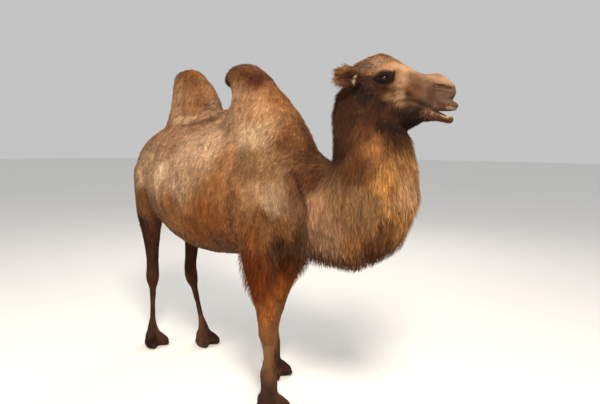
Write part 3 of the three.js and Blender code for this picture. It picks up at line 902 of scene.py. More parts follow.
# %% Sinking
TIP_SHARE = 0.75  # of the height at which a tip stands, since locks lie on each other
DEEPEST, SHALLOWER_ON_LEGS = 0.015, 0.007
EARS_SPARED, TAIL_SPARED = 0.75, 0.80  # thin parts keep most of their thickness
LIDS_LEVEL = 0.060  # towards the middle of an eye the hide is sunk less and less
TAIL_FRONT, TAIL_TUFT = at(-0.955, 0, 1.40)[[0, 2]]
coat = coat_at(skin_points)
forward, side, up = in_head_frame(skin_points)
on_leg = legs_of(skin_points)
on_ear = falling(forward, -0.115, 0.02) * rising(abs(side), 0.085, 0.02) * (abs(up) < 0.075)
on_tail = falling(skin_points[:, 0], TAIL_FRONT, 0.02) * (abs(skin_points[:, 1]) < 0.05)
tips = coat["length"] * np.sin(coat["lift"]) * TIP_SHARE + 0.001
sink = np.minimum(tips, DEEPEST - SHALLOWER_ON_LEGS * on_leg)
for eye in EYES.values():
    sink *= 1 - near(skin_points, eye, LIDS_LEVEL)
sink *= 1 - EARS_SPARED * on_ear
sink *= 1 - TAIL_SPARED * on_tail * (skin_points[:, 2] < TAIL_TUFT)
sink *= rising(skin_points[:, 2], 0.004, 0.050)
skin_points = skin_points - normals_of(hide) * sink[:, None]
move_points(hide, skin_points)
print("sunk by up to", round(float(sink.max()) * 1000), "mm")

# %% [markdown]
# ## Bone and muscle under the skin
# What tells a camel from a smooth toy is where bone comes near the skin: brow, cheekbone, hip, shoulder
# blade and knees. Each form is one stroke, a short path with a radius and a height in millimetres, raised
# or pressed in along the hide's normals with a soft edge. Strokes with a facing only touch skin that
# looks that way, such as the cup inside an ear.

# %% Forms of the body
BODY_FORMS = [
    # path, radius, height
    (((-0.470, 0.262, 1.550), (-0.430, 0.289, 1.465), *FLANK_FOLD), 34, -20),
    (((-0.56, 0.25, 1.50), (-0.50, 0.28, 1.34), (-0.44, 0.30, 1.20)), 70, 12),
    (((-0.28, 0.31, 1.52), (-0.20, 0.35, 1.38), (-0.13, 0.36, 1.24)), 60, 10),
    (((-0.46, 0.23, 1.63), (-0.52, 0.22, 1.62)), 70, 10),
    (((-0.74, 0.24, 1.38), (-0.66, 0.25, 1.15)), 95, 10),
    (((0.57, 0.22, 1.64), (0.70, 0.24, 1.40)), 70, 9),
    (NECK_FOLD, 34, -18),
    (((0.76, 0.22, 1.38), (0.72, 0.25, 1.22)), 85, 14),
    (((0.52, 0.315, 1.34), (0.488, 0.318, 1.235), (0.475, 0.28, 1.104), (0.55, 0.27, 1.03)), 32, -16),
    (((0.60, 0.31, 1.20), (0.63, 0.30, 1.10)), 50, 10),
    (((-0.167, 0.17, 1.775), (-0.02, 0.17, 1.765), (0.12, 0.17, 1.785), (0.28, 0.18, 1.83)), 34, -12),
    (((1.34, 0.13, 1.62), (1.22, 0.17, 1.34)), 45, -6),
    (((1.50, 0.02, 1.28), (1.44, 0.03, 1.14), (1.34, 0.02, 1.04)), 110, 9),
    (((-0.93, 0.10, 1.45), (-0.95, 0.09, 1.25)), 40, -8),
    (((0.725, 0.125, 0.99), (0.730, 0.125, 0.85)), 65, 12),
    (((0.455, 0.105, 0.94), (0.455, 0.110, 0.78)), 65, 12),
    (((0.10, 0.33, 1.52), (0.02, 0.36, 1.24)), 26, -3),
    (((0.20, 0.33, 1.50), (0.12, 0.36, 1.22)), 26, -3),
    (((0.00, 0.33, 1.52), (-0.08, 0.36, 1.26)), 26, -3),
]
print(len(BODY_FORMS), "forms on one side of the body")

# %% Forms of the head
HEAD_FORMS = [
    # path in the head's frame, radius, height, facing
    (((0.062, 0.082, 0.026), (0.014, 0.098, 0.038), (-0.050, 0.097, 0.030)), 17, 7),
    (((0.070, 0.080, -0.008), (0.040, 0.096, -0.030), (-0.010, 0.104, -0.034), (-0.050, 0.102, -0.016)),
     12, -3),
    (((0.043, 0.088, -0.018), (0.085, 0.078, -0.042)), 15, -4),
    (((0.115, 0.078, -0.050), (0.035, 0.098, -0.056), (-0.060, 0.096, -0.048)), 19, 5),
    (((-0.042, 0.102, -0.046), (-0.004, 0.104, -0.062), (0.040, 0.094, -0.062)), 8, -4),
    (((0.135, 0.062, -0.105), (0.055, 0.085, -0.102)), 26, -6),
    (((-0.010, 0.090, -0.125), (-0.040, 0.085, -0.150)), 46, 6),
    (((-0.055, 0.088, 0.050), (-0.085, 0.080, 0.055)), 30, -7),
    (((0.085, 0.064, 0.000), (0.200, 0.055, -0.030)), 22, -5),
    (((0.243, 0.062, -0.045), (0.285, 0.057, -0.051), (0.326, 0.040, -0.063)), 10, -15),
    (((0.240, 0.056, -0.030), (0.283, 0.050, -0.034), (0.325, 0.034, -0.047)), 13, 5),
    (((0.245, 0.064, -0.062), (0.288, 0.057, -0.070), (0.328, 0.038, -0.080)), 10, 3.5),
    (((0.352, 0.000, -0.085), (0.354, 0.000, -0.118), (0.346, 0.000, -0.152)), 7.5, -8),
    (((0.226, 0.064, -0.052), (0.216, 0.066, -0.085)), 6, -2.5),
    (((0.210, 0.066, -0.058), (0.200, 0.066, -0.088)), 6, -2.0),
    (((0.240, 0.052, -0.166), (0.195, 0.060, -0.154), (0.148, 0.064, -0.140)), 9, -8),
    (((0.265, 0.020, -0.222), (0.235, 0.020, -0.232)), 18, 4),
    (((0.258, 0.042, -0.184), (0.296, 0.034, -0.196), (0.318, 0.000, -0.200)), 14, 5),
    (((-0.148, 0.122, 0.004), (-0.188, 0.146, -0.002), (-0.215, 0.157, -0.004)), 44, -17, (0.6, 0.8, 0)),
]
print(len(HEAD_FORMS), "forms on one side of the head")

# %% Forms of legs and eyes, and pressing them in
JOINT_FORMS = {
    # start and end from the joint, radius: the pad of the knee, the point of the hock
    "fore": ((0.045, 0, 0.01), (0.045, 0, -0.04), 34),
    "hind": ((-0.050, 0, -0.02), (-0.050, 0, -0.06), 26),
}
CLEFT = ((0, 0.02), (0.03, 0.055), (0.075, 0.09))  # between the toes: back from their front, height
EYE_CREASES = ((0.036, range(20, 161, 20), -3), (0.034, range(205, 336, 20), -2))  # radius, turns, depth
CREASE_OUT, EYE_ROOM = 0.020, EYE_RADIUS + 0.0012
FACING_GAIN = 1.6  # skin up to 50 degrees off a stroke's facing still takes all of it


def pressed(points, normals, strokes):
    total = np.zeros(len(points))
    for path, radius, height, facing in strokes:
        effect = reach_of(points, path, radius / 1000)
        if facing is not None:
            effect = effect * np.clip(normals @ facing * FACING_GAIN, 0, 1)
        total += effect * height / 1000
    return points + normals * total[:, None]


def table_strokes():
    strokes = []
    for path, radius, height in BODY_FORMS:
        strokes += [(copy, radius, height, None) for copy in mirrored(path, at)]
    for path, radius, height, *facing in HEAD_FORMS:
        for sign, copy in zip((1, -1), mirrored(path, on_head)):
            seen = unit(along_head(*on_side(sign, facing[0]))) if facing else None
            strokes.append((copy, radius, height, seen))
    return strokes


def leg_strokes():
    strokes = []
    for leg in LEGS:
        joint = ends_of(f"leg_{leg}_lower")[0]
        start, end, radius = JOINT_FORMS[leg.split("_")[0]]
        strokes.append(([joint + start, joint + end], radius, 6, None))
    for leg in LEGS:
        ends = ends_of(f"leg_{leg}_lower")
        for sign in (-1, 1):
            groove = np.array((-0.008, sign * 0.030, 0))
            strokes.append(([part_way(ends, share) + groove for share in (0.15, 0.85)], 13, -5, None))
        low, high = (np.array(corner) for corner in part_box("foot_" + leg))
        middle, front = (low[1] + high[1]) / 2, high[0]
        strokes.append(([np.array((front - back, middle, height)) for back, height in CLEFT], 16, -9, None))
    return strokes


def eye_creases():
    strokes = []
    for which in EYES:
        out, across, high = eye_axes(which)
        for size, turns, depth in EYE_CREASES:
            ring = []
            for turn in (math.radians(degrees) for degrees in turns):
                spoke = math.cos(turn) * across + math.sin(turn) * high
                ring.append(EYES[which] + out * CREASE_OUT + size * spoke)
            strokes.append((ring, 5, depth, None))
    return strokes


forms = table_strokes() + leg_strokes()
skin_points = pressed(points_of(hide), normals_of(hide), forms)
move_points(hide, skin_points)
skin_points = pressed(skin_points, normals_of(hide), eye_creases())
skin_points = rubbed(skin_points, edges, 1, 0.3 * on_face + 0.3 * on_leg)
for eye in EYES.values():
    away = skin_points - eye
    gap = np.linalg.norm(away, axis=1)
    inside = gap < EYE_ROOM
    skin_points[inside] = eye + away[inside] / gap[inside, None] * EYE_ROOM
skin_points[:, 2] = np.maximum(skin_points[:, 2], 0)
move_points(hide, skin_points)
print(len(forms), "strokes")

# %% [markdown]
# ## Fewer faces where nothing happens
# The fine cells of the head also cover its plain cheeks and throat. Decimate removes faces where the
# surface is nearly flat and leaves them round lids, lips and nostrils, so that the whole hide stays a
# light mesh. Then it is unfolded by Smart UV Project: the coat later uses that unfolding to know where
# each lock has its root.

# %% Decimate and unfold
HIDE_TRIANGLES = 185000
share_kept = HIDE_TRIANGLES / (2 * len(hide.data.polygons))
finished(hide, "DECIMATE", ratio=share_kept, use_collapse_triangulate=True)
only(hide)
bpy.ops.object.mode_set(mode="EDIT")
bpy.ops.mesh.select_all(action="SELECT")
bpy.ops.uv.smart_project(angle_limit=math.radians(72), island_margin=0.001)
bpy.ops.mesh.select_all(action="DESELECT")
bpy.ops.object.mode_set(mode="OBJECT")
hide.data.uv_layers[0].name = "Unfolded"
bpy.ops.object.shade_smooth()
print("hide", len(hide.data.polygons), "triangles", round(time.perf_counter() - started, 1), "s")

# %% [markdown]
# ## Markings on the hide
# The hide is painted by the same table as the coat, a little darker, since what shows between locks is
# underwool in shade. Over that, strokes as before darken the slits of the nostrils, the line of the mouth
# and the cleft of the upper lip as painted shade in those openings, and bare skin is painted on the rims
# of the lids and the soles.

# %% Paint the hide
SLIT_SHADE_MARKS = [
    # path in the head's frame, radius, tone, strength
    # painted shade, in order: nostril slit, line of the mouth, front of the mouth, cleft of the upper lip
    (((0.240, 0.062, -0.045), (0.285, 0.057, -0.052), (0.328, 0.039, -0.064)), 13, "soot", 1.0),
    (((0.150, 0.062, -0.140), (0.195, 0.058, -0.157), (0.245, 0.050, -0.170), (0.300, 0.036, -0.180),
      (0.330, 0.00, -0.184)), 11, "soot", 0.95),
    (((0.235, 0.000, -0.180), (0.300, 0.000, -0.186)), 24, "soot", 0.95),
    (((0.345, 0.000, -0.100), (0.345, 0.000, -0.150)), 6, "slate", 0.6),
]
SLIT_SHADE_MARKS = [(mirrored(path, on_head), *rest) for path, *rest in SLIT_SHADE_MARKS]
UNDERWOOL_SHADE = 0.72
LID_RIM = 0.036  # from the middle of the eye
SOLE_TOP, SOLE_STRENGTH = 0.010, 0.7


def with_slit_shade_and_bare_skin(points, tones):
    # painted shade in the nostrils, mouth and lip cleft, then the real colour of lid rims and soles
    tones = marked(points, tones, SLIT_SHADE_MARKS)
    for eye in EYES.values():
        rim = falling(np.linalg.norm(points - eye, axis=1), LID_RIM, 0.006)[:, None]
        tones = tones * (1 - rim) + TONES["soot"] * rim
    sole = falling(points[:, 2], SOLE_TOP, 0.006)[:, None] * SOLE_STRENGTH
    return tones * (1 - sole) + TONES["slate"] * sole


def colour_points(piece, tones):
    layer = piece.data.color_attributes.new(name="tone", type="FLOAT_COLOR", domain="POINT")
    painted = np.ones((len(tones), 4), np.float32)
    painted[:, :3] = tones
    layer.data.foreach_set("color", painted.ravel())


skin_points = points_of(hide)
colour_points(hide, with_slit_shade_and_bare_skin(skin_points, coat_at(skin_points)["tone"] * UNDERWOOL_SHADE))
print("hide painted", round(time.perf_counter() - started, 1), "s")

# %% [markdown]
# ## Locks of wool
# Camel wool hangs together in small flat locks, so that is what is modelled: each lock is a thin curved
# blade with a ridge, closed, and pointed at its tip, four to sixteen triangles in all. Many thousands are
# needed, all different, which is why arrays write them in one go. Roots are picked at random all over the
# hide and thinned until each has about a lock's area to itself, and the table gives the rest.
# Neighbouring locks lean to a common middle, which makes the clumps that catch light.

# %% Pick the roots


def triangles_of(piece):
    mesh = piece.data
    mesh.calc_loop_triangles()
    corners = np.empty(len(mesh.loop_triangles) * 3, np.int32)
    mesh.loop_triangles.foreach_get("vertices", corners)
    loops = np.empty(len(mesh.loop_triangles) * 3, np.int32)
    mesh.loop_triangles.foreach_get("loops", loops)
    return corners.reshape(-1, 3), loops.reshape(-1, 3)


def unfolded(piece):
    layer = piece.data.uv_layers["Unfolded"]
    flat = np.empty(len(piece.data.loops) * 2, np.float32)
    layer.uv.foreach_get("vector", flat)
    return flat.reshape(-1, 2)


TRIES_PER_LOCK = 2.6
CLOSENESS = 0.77  # gap between roots, as a share of the side of a square as large as one lock
SHORT_HAIR, HEAD_BOTTOM, FACE_CLOSER = 0.0125, at(0, 0, 1.60)[2], 0.20
SHANK_TOP, SHANK_SPARSER = at(0, 0, 0.60)[2], 0.35
corners, loops = triangles_of(hide)
skin_normals, skin_map = normals_of(hide), unfolded(hide)
triangle_centres = skin_points[corners].mean(axis=1)
first, second = (skin_points[corners[:, n]] - skin_points[corners[:, 0]] for n in (1, 2))
areas = np.linalg.norm(np.cross(first, second), axis=1) / 2
growing = coat_at(triangle_centres)
spacing = CLOSENESS * np.sqrt(growing["width"] * growing["length"])
heights = triangle_centres[:, 2]
spacing *= 1 - FACE_CLOSER * falling(growing["length"], SHORT_HAIR, 0.002) * (heights > HEAD_BOTTOM)
spacing *= 1 + SHANK_SPARSER * falling(heights, SHANK_TOP, 0.05)
wanted = areas / spacing ** 2 * TRIES_PER_LOCK
picks = rng.choice(len(areas), int(wanted.sum()), p=wanted / wanted.sum())
mix = rng.random((len(picks), 2))
mix = np.where(mix.sum(axis=1, keepdims=True) > 1, 1 - mix, mix)
mix = np.column_stack((1 - mix.sum(axis=1), mix))


def mixed(values, index):
    return np.einsum("nk,nkd->nd", mix, values[index[picks]])


roots, root_normals, root_spots = (
    mixed(skin_points, corners), unit(mixed(skin_normals, corners)), mixed(skin_map, loops)
)
root_spacing = spacing[picks]
print(len(roots), "tries", round(time.perf_counter() - started, 1), "s")

# %% Thin them to one per cell
CELL_GROWTH = 1.25  # cells come in sizes that grow by this factor
SOLE_HEIGHT, DOWNWARD = 0.018, -0.2
BARE_BELOW, BARE_ROUND_EYE = 0.006, 0.0335
BARE_SHARE = 0.25


def one_per_cell(points, size, weight=(1, 1, 1)):
    step = np.round(np.log(size) / math.log(CELL_GROWTH)).astype(int)
    cell = np.floor(points * weight / (CELL_GROWTH ** step)[:, None]).astype(int)
    keys = np.column_stack((cell, step))
    return np.sort(np.unique(keys, axis=0, return_index=True)[1])


def grows_hair(points, normals):
    keep = (points[:, 2] > SOLE_HEIGHT) | (normals[:, 2] > DOWNWARD)
    keep &= points[:, 2] > BARE_BELOW
    for eye in EYES.values():
        keep &= np.linalg.norm(points - eye, axis=1) > BARE_ROUND_EYE
    for paths, radius, *_ in SLIT_SHADE_MARKS:
        for path in paths:
            keep &= reach_of(points, path, radius / 1000) < BARE_SHARE
    return keep


kept = one_per_cell(roots, root_spacing)
kept = kept[grows_hair(roots[kept], root_normals[kept])]
roots, root_normals, root_spots = roots[kept], root_normals[kept], root_spots[kept]
coat = coat_at(roots)
print(len(roots), "roots", round(time.perf_counter() - started, 1), "s")

# %% [markdown]
# ## Clumps
# A clump's middle is one root picked per few locks, in cells stretched along the hang of the wool. Each
# root finds its nearest middle in a tree of points and remembers which way it leans and how bright the
# whole clump is. Locks towards a clump's edge are also darkened, as painted shade between clumps.

# %% Find each lock's clump
STRETCH = (1, 1, 0.42)
CLUMP_WIDTHS, CLUMP_GROWTH = 2.2, 0.016  # a clump is this many locks wide, and one more per 16 mm of length
BRIGHT, BRIGHT_SPREAD, EDGE_SHADE = 1.08, 0.16, 0.32
SWING_SPREAD, LIFT_RANGE = 0.16, (0.7, 1.35)
clump_size = coat["width"] * (CLUMP_WIDTHS + coat["length"] / CLUMP_GROWTH)
middles = one_per_cell(roots, clump_size, STRETCH)
tree = kdtree.KDTree(len(middles))
for number, place in enumerate((roots[middles] * STRETCH).tolist()):
    tree.insert(place, number)
tree.balance()
clump = np.array([tree.find(place)[1] for place in (roots * STRETCH).tolist()])
lean = roots[middles][clump] - roots
across = lean - coat["lie"] * np.einsum("nk,nk->n", lean, coat["lie"])[:, None]
aside = np.clip(np.linalg.norm(across, axis=1) / (0.5 * clump_size), 0, 1)
# painted shade: a lock is darker the nearer it stands to its clump's edge
clump_bright = rng.normal(BRIGHT, BRIGHT_SPREAD, len(middles))[clump] * (1.09 - EDGE_SHADE * aside)
roundness = -across / (0.5 * clump_size)[:, None]
clump_swing = rng.normal(0, SWING_SPREAD, len(middles))[clump]
clump_lift = rng.uniform(*LIFT_RANGE, len(middles))[clump]
print(len(middles), "clumps", round(time.perf_counter() - started, 1), "s")

# %% [markdown]
# ## From root to tip
# A lock leaves the skin, bends over and lies along the coat. Long locks hang: where the lie points away
# from the skin, as under the throat, they leave it. Each has its own length, swing, lift and a faint
# wave. Wool is dark and dense at the root and bleached by sun at the tip, so the colour rises along it;
# the darker root is also painted shade, where the locks lying over it keep the light off.

# %% Shape the locks
LENGTHS, WIDTHS, LIFTS = (0.72, 1.22), (0.80, 1.25), (0.70, 1.30)  # spread round what the table says
LIFT_LEAST, LIFT_MOST = 0.05, 1.2
HANG_FROM, HANG_OVER, HANG_MOST = 0.030, 0.04, 0.5  # longer locks leave the skin where it turns away
TURN_SPREAD, WAVE = 0.10, 0.045
SOFTNESS = 0.85  # how much a lock is lit like the skin under it rather than like a blade
ROOT_DEPTH = 0.0015  # roots start under the hide
WAVE_TURN = 4.5  # radians from root to tip
GATHER = 0.55  # how far a tip comes towards the middle of its clump


def lock_shapes(number, roots, normals, coat, lean, swing, raised):
    count = len(roots)
    length = coat["length"] * number.uniform(*LENGTHS, count)
    width = coat["width"] * number.uniform(*WIDTHS, count)
    lift = np.clip(coat["lift"] * raised * number.uniform(*LIFTS, count), LIFT_LEAST, LIFT_MOST)
    out = np.einsum("nk,nk->n", coat["lie"], normals)
    hangs = np.clip((coat["length"] - HANG_FROM) / HANG_OVER, 0, HANG_MOST)
    keep_out = np.where(out > 0, out * hangs, 0)
    flat = unit(coat["lie"] - normals * (out - keep_out)[:, None])
    side = unit(np.cross(flat, normals))
    turn = swing + number.normal(0, TURN_SPREAD, count)
    flat = unit(flat * np.cos(turn)[:, None] + side * np.sin(turn)[:, None])
    side = unit(np.cross(flat, normals))
    lean = lean - normals * np.einsum("nk,nk->n", lean, normals)[:, None]
    lean = lean * np.minimum(1, 0.6 * length / np.maximum(np.linalg.norm(lean, axis=1), 1e-6))[:, None]
    wave = number.uniform(-1, 1, count) * length * WAVE
    return SimpleNamespace(
        length=length, width=width, lift=lift, flat=flat, side=side, lean=lean, wave=wave
    )


def spine_at(share, roots, normals, lock):
    rise = np.sin(lock.lift) * (1 - (1 - share) ** 2)
    run = np.cos(lock.lift) * share
    bend = lock.wave * math.sin(share * WAVE_TURN)
    return (
        roots - normals * ROOT_DEPTH
        + lock.flat * (lock.length * run)[:, None]
        + normals * (lock.length * rise)[:, None]
        + lock.lean * (GATHER * share ** 1.5)
        + lock.side * bend[:, None]
    )


def blade_faces(rings):
    faces = [(0, 2, 1)]
    for ring in range(rings - 1):
        low, high = 3 * ring, 3 * ring + 3
        for a, b in ((0, 1), (1, 2), (2, 0)):
            faces += [(low + a, low + b, high + b), (low + a, high + b, high + a)]
    last, tip = 3 * (rings - 1), 3 * rings
    return np.array(faces + [(last + a, last + b, tip) for a, b in ((0, 1), (1, 2), (2, 0))])


print("triangles in a lock of one, two and three rings:", [len(blade_faces(rings)) for rings in (1, 2, 3)])

# %% Weave them into one mesh
OWN_SPREAD = 0.15  # how much locks of one clump differ in brightness
WARM_SPREAD, WARM_GAIN, WARMER = 0.04, 0.10, np.array((0.3, 0.3, -0.9))
BLADE_HALF, ROOT_HALF = 0.55, 0.40  # half widths over and at the root, for a width of 1
# the darker root is partly the tip's sun-bleaching and partly painted shade from the locks lying over it
ROOT_LIGHT, TIP_LIGHT = 0.50, 0.64  # brightness at the root, and what the tip has on top of it
# RIDGE_LIGHT is a painted highlight along the top of each blade
RIDGE, RIDGE_LIGHT = 0.55, 0.04  # height for half the width of 1, and its own brightness
BAKE_PATCH = 0.003  # side of the square that a lock covers on the unfolded hide
LOWEST = 0.0005


def woven(name, roots, normals, spots, coat, bright, lean, swing, raised, rounded, rings, seed):
    number = np.random.default_rng(seed)
    lock = lock_shapes(number, roots, normals, coat, lean, swing, raised)
    count = len(roots)
    own = number.normal(1, OWN_SPREAD, (count, 1)) * bright[:, None]
    warm = 1 + (number.normal(0, WARM_SPREAD, (count, 1)) + WARM_GAIN * (own - 1)) * WARMER
    points, shades, spot_list, facings = [], [], [], []
    for ring in range(rings + 1):
        share = ring / rings
        spine = spine_at(share, roots, normals, lock)
        half = (lock.width * (BLADE_HALF * (1 - share) ** 0.75 if ring else ROOT_HALF))[:, None]
        edge = lock.side * half
        corners = {0: spine - edge, 1: spine + normals * half * RIDGE, 2: spine + edge}
        if ring == rings:
            corners = {1: spine}
        for across, corner in corners.items():
            points.append(corner)
            ridge = across == 1 and ring < rings
            # painted shade towards the root and a painted highlight on the ridge, over the tip's real
            # bleaching
            light = ROOT_LIGHT + TIP_LIGHT * share ** 0.7 + (RIDGE_LIGHT if ridge else 0)
            shades.append(coat["tone"] * own * warm * light)
            turned = lock.side * (0.5 * (across - 1)) + lock.flat * 0.15
            facings.append(normals * SOFTNESS + turned + rounded * 0.6)
            spot_list.append(spots + np.array((across / 2 - 0.5, share - 0.5)) * BAKE_PATCH)
    per = 3 * rings + 1
    points = np.stack(points, axis=1).reshape(-1, 3)
    points[:, 2] = np.maximum(points[:, 2], LOWEST)
    faces = (blade_faces(rings)[None] + (np.arange(count) * per)[:, None, None]).reshape(-1, 3)
    shades, facings = (np.stack(values, axis=1).reshape(-1, 3) for values in (shades, facings))
    spots = np.stack(spot_list, axis=1).reshape(-1, 2)
    return solid_mesh(name, points, faces, shades, spots, unit(facings))


def solid_mesh(name, points, faces, tones, spots, facings):
    mesh = bpy.data.meshes.new(name)
    mesh.vertices.add(len(points))
    mesh.vertices.foreach_set("co", points.astype(np.float32).ravel())
    mesh.loops.add(faces.size)
    mesh.loops.foreach_set("vertex_index", faces.astype(np.int32).ravel())
    mesh.polygons.add(len(faces))
    mesh.polygons.foreach_set("loop_start", np.arange(0, faces.size, 3, dtype=np.int32))
    mesh.polygons.foreach_set("use_smooth", np.ones(len(faces), bool))
    mesh.update(calc_edges=True)
    layer = mesh.uv_layers.new(name="OFBake")
    layer.uv.foreach_set("vector", spots[faces.ravel()].astype(np.float32).ravel())
    mesh.normals_split_custom_set_from_vertices(facings)
    piece = bpy.data.objects.new(name, mesh)
    bpy.context.scene.collection.objects.link(piece)
    colour_points(piece, np.clip(tones, 0.002, 0.95))
    return piece


# %% [markdown]
# ## Which lock belongs to which piece
# The coat is kept in pieces a person would name, none too heavy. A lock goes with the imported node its
# root is nearest to, and the trunk and neck are parted down the middle.

# %% Sort the locks and weave each piece
node_tree = kdtree.KDTree(sum(len(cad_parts[name].data.vertices) for name in FLESH))
owners = []
for name in FLESH:
    for place in points_of(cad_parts[name]).tolist():
        node_tree.insert(place, len(owners))
        owners.append(name)
node_tree.balance()
owner = np.array([owners[node_tree.find(place)[1]] for place in roots.tolist()])

SHOULDER_END, FLANK_END = at(0.30, 0, 0)[0], at(-0.25, 0, 0)[0]
FACE_HAIR = 0.0115  # locks shorter than this are the face's
right = roots[:, 1] < 0
fore = roots[:, 0] > SHOULDER_END
mid = (roots[:, 0] > FLANK_END) & ~fore
short = coat["length"] < FACE_HAIR
on_head_flesh, foreleg = np.isin(owner, HEAD_FLESH), np.char.startswith(owner, "leg_fore")
COAT = {}  # for each piece, its locks, its slot and the rings in a lock
for region, there in (("shoulder", fore), ("flank", mid), ("haunch", ~fore & ~mid)):
    COAT[f"coat_{region}_right"] = ((owner == "trunk") & right & there, "coat_tan", 2)
    COAT[f"coat_{region}_left"] = ((owner == "trunk") & ~right & there, "coat_tan", 2)
COAT |= {
    "coat_humps": (np.isin(owner, ["hump_front", "hump_rear"]), "coat_ridge", 2),
    "coat_neck_right": ((owner == "neck") & right, "coat_golden", 2),
    "coat_neck_left": ((owner == "neck") & ~right, "coat_golden", 2),
    "coat_face": (on_head_flesh & short, "coat_face", 1),
    "coat_crown": (on_head_flesh & ~short, "coat_face", 2),
    "coat_forearms": (foreleg & np.char.endswith(owner, "upper"), "coat_cuff", 2),
    "coat_shanks": (foreleg & np.char.endswith(owner, "lower"), "coat_shank", 1),
    "coat_hind_legs": (np.char.startswith(owner, "leg_hind"), "coat_dusk", 1),
    "coat_feet": (np.char.startswith(owner, "foot"), "coat_dusk", 1),
    "coat_tail": (owner == "tail", "coat_dusk", 3),
}

coat_pieces = {}
for seed, (name, (mine, _, rings)) in enumerate(COAT.items()):
    part = {key: value[mine] for key, value in coat.items()}
    coat_pieces[name] = woven(
        name, roots[mine], root_normals[mine], root_spots[mine], part, clump_bright[mine], lean[mine],
        clump_swing[mine], clump_lift[mine], roundness[mine], rings, 100 + seed,
    )
    print(name, mine.sum(), "locks,", len(coat_pieces[name].data.polygons), "triangles")
print("coat woven", round(time.perf_counter() - started, 1), "s")

# %% [markdown]
# ## Wool and skin as materials
# Wool is a mass of fine translucent fibres: it scatters light softly, with a faint sheen at grazing
# angles and almost no gloss. The painted tone gives its colour, and a fine stretched noise adds single
# hairs, which are about 0.05 mm thick in life and are drawn here as streaks about two millimetres wide so
# that they show.

# %% Hide and wool


def wool(name, streak, rough, sheen):
    finish = {"Roughness": rough, "Specular IOR Level": 0.1, "Sheen Weight": sheen, "Sheen Roughness": 0.5}
    material, tree, skin = new_material(name, finish)
    tone = add(tree, "Attribute", attribute_name="tone")
    spot = add(tree, "TexCoord")
    grain = add(tree, "Mapping", {"Vector": spot.outputs["Object"], "Scale": (1.0, 1.0, 0.22)})
    hairs = add(tree, "TexNoise", {"Vector": grain.outputs["Vector"], "Scale": streak, "Detail": 3.0})
    patches = add(tree, "TexNoise", {"Vector": spot.outputs["Object"], "Scale": 26.0, "Detail": 4.0})
    span = {"From Min": 0.3, "From Max": 0.7}
    shade = add(tree, "MapRange", {"Value": hairs.outputs["Fac"], **span, "To Min": 0.80, "To Max": 1.18})
    cloud = add(tree, "MapRange", {"Value": patches.outputs["Fac"], **span, "To Min": 0.86, "To Max": 1.12})
    both = add(tree, "Math", {0: shade.outputs["Result"], 1: cloud.outputs["Result"]}, operation="MULTIPLY")
    scaled = {0: tone.outputs["Color"], "Scale": both.outputs["Value"]}
    coloured = add(tree, "VectorMath", scaled, operation="SCALE")
    tree.links.new(coloured.outputs["Vector"], skin.inputs["Base Color"])
    return material, tree, skin, hairs


underwool, underwool_tree, underwool_skin, nap = wool("short underwool over hide", 420.0, 0.95, 0.0)
nap_bump = add(underwool_tree, "Bump", {"Height": nap.outputs["Fac"], "Strength": 0.5, "Distance": 0.002})
underwool_tree.links.new(nap_bump.outputs["Normal"], underwool_skin.inputs["Normal"])
summer_wool = wool("sun-bleached camel wool with painted root shade", 520.0, 0.9, 0.02)[0]
hide.data.materials.append(underwool)
for piece in coat_pieces.values():
    piece.data.materials.append(summer_wool)

# %% [markdown]
# ## Eyes
# A camel's eye is large, dark brown and very glossy, with a pupil drawn out sideways. Each eyeball is a
# sphere with a cornea pushed forward, wet and clear over a dark iris. Its colour is worked out from where
# a point lies round the gaze, written on the points, so that one material serves both eyes.

# %% Eyeballs
CORNEA_EDGE, CORNEA_BULGE = 0.80, 0.0018  # its edge, as a share of the way to the front, and its height


def eyeball(side_name):
    eye = ball("eyeball_" + side_name, EYES[side_name], (EYE_RADIUS,) * 3, 64, 48)
    out, across, high = eye_axes(side_name)
    points = points_of(eye)
    away = points - EYES[side_name]
    facing = away @ out / EYE_RADIUS
    bulge = rising(facing, CORNEA_EDGE, 0.20)
    move_points(eye, points + out * (bulge * CORNEA_BULGE)[:, None])
    layer = eye.data.attributes.new(name="gaze", type="FLOAT_VECTOR", domain="POINT")
    seen = np.column_stack((away @ across, away @ high, away @ out)) / EYE_RADIUS
    layer.data.foreach_set("vector", seen.astype(np.float32).ravel())
    only(eye)
    bpy.ops.object.shade_smooth()
    return eye


MIX_FACTOR, MIX_FROM, MIX_TO, MIX_RESULT = 0, 6, 7, 2  # a colour Mix node's own sockets


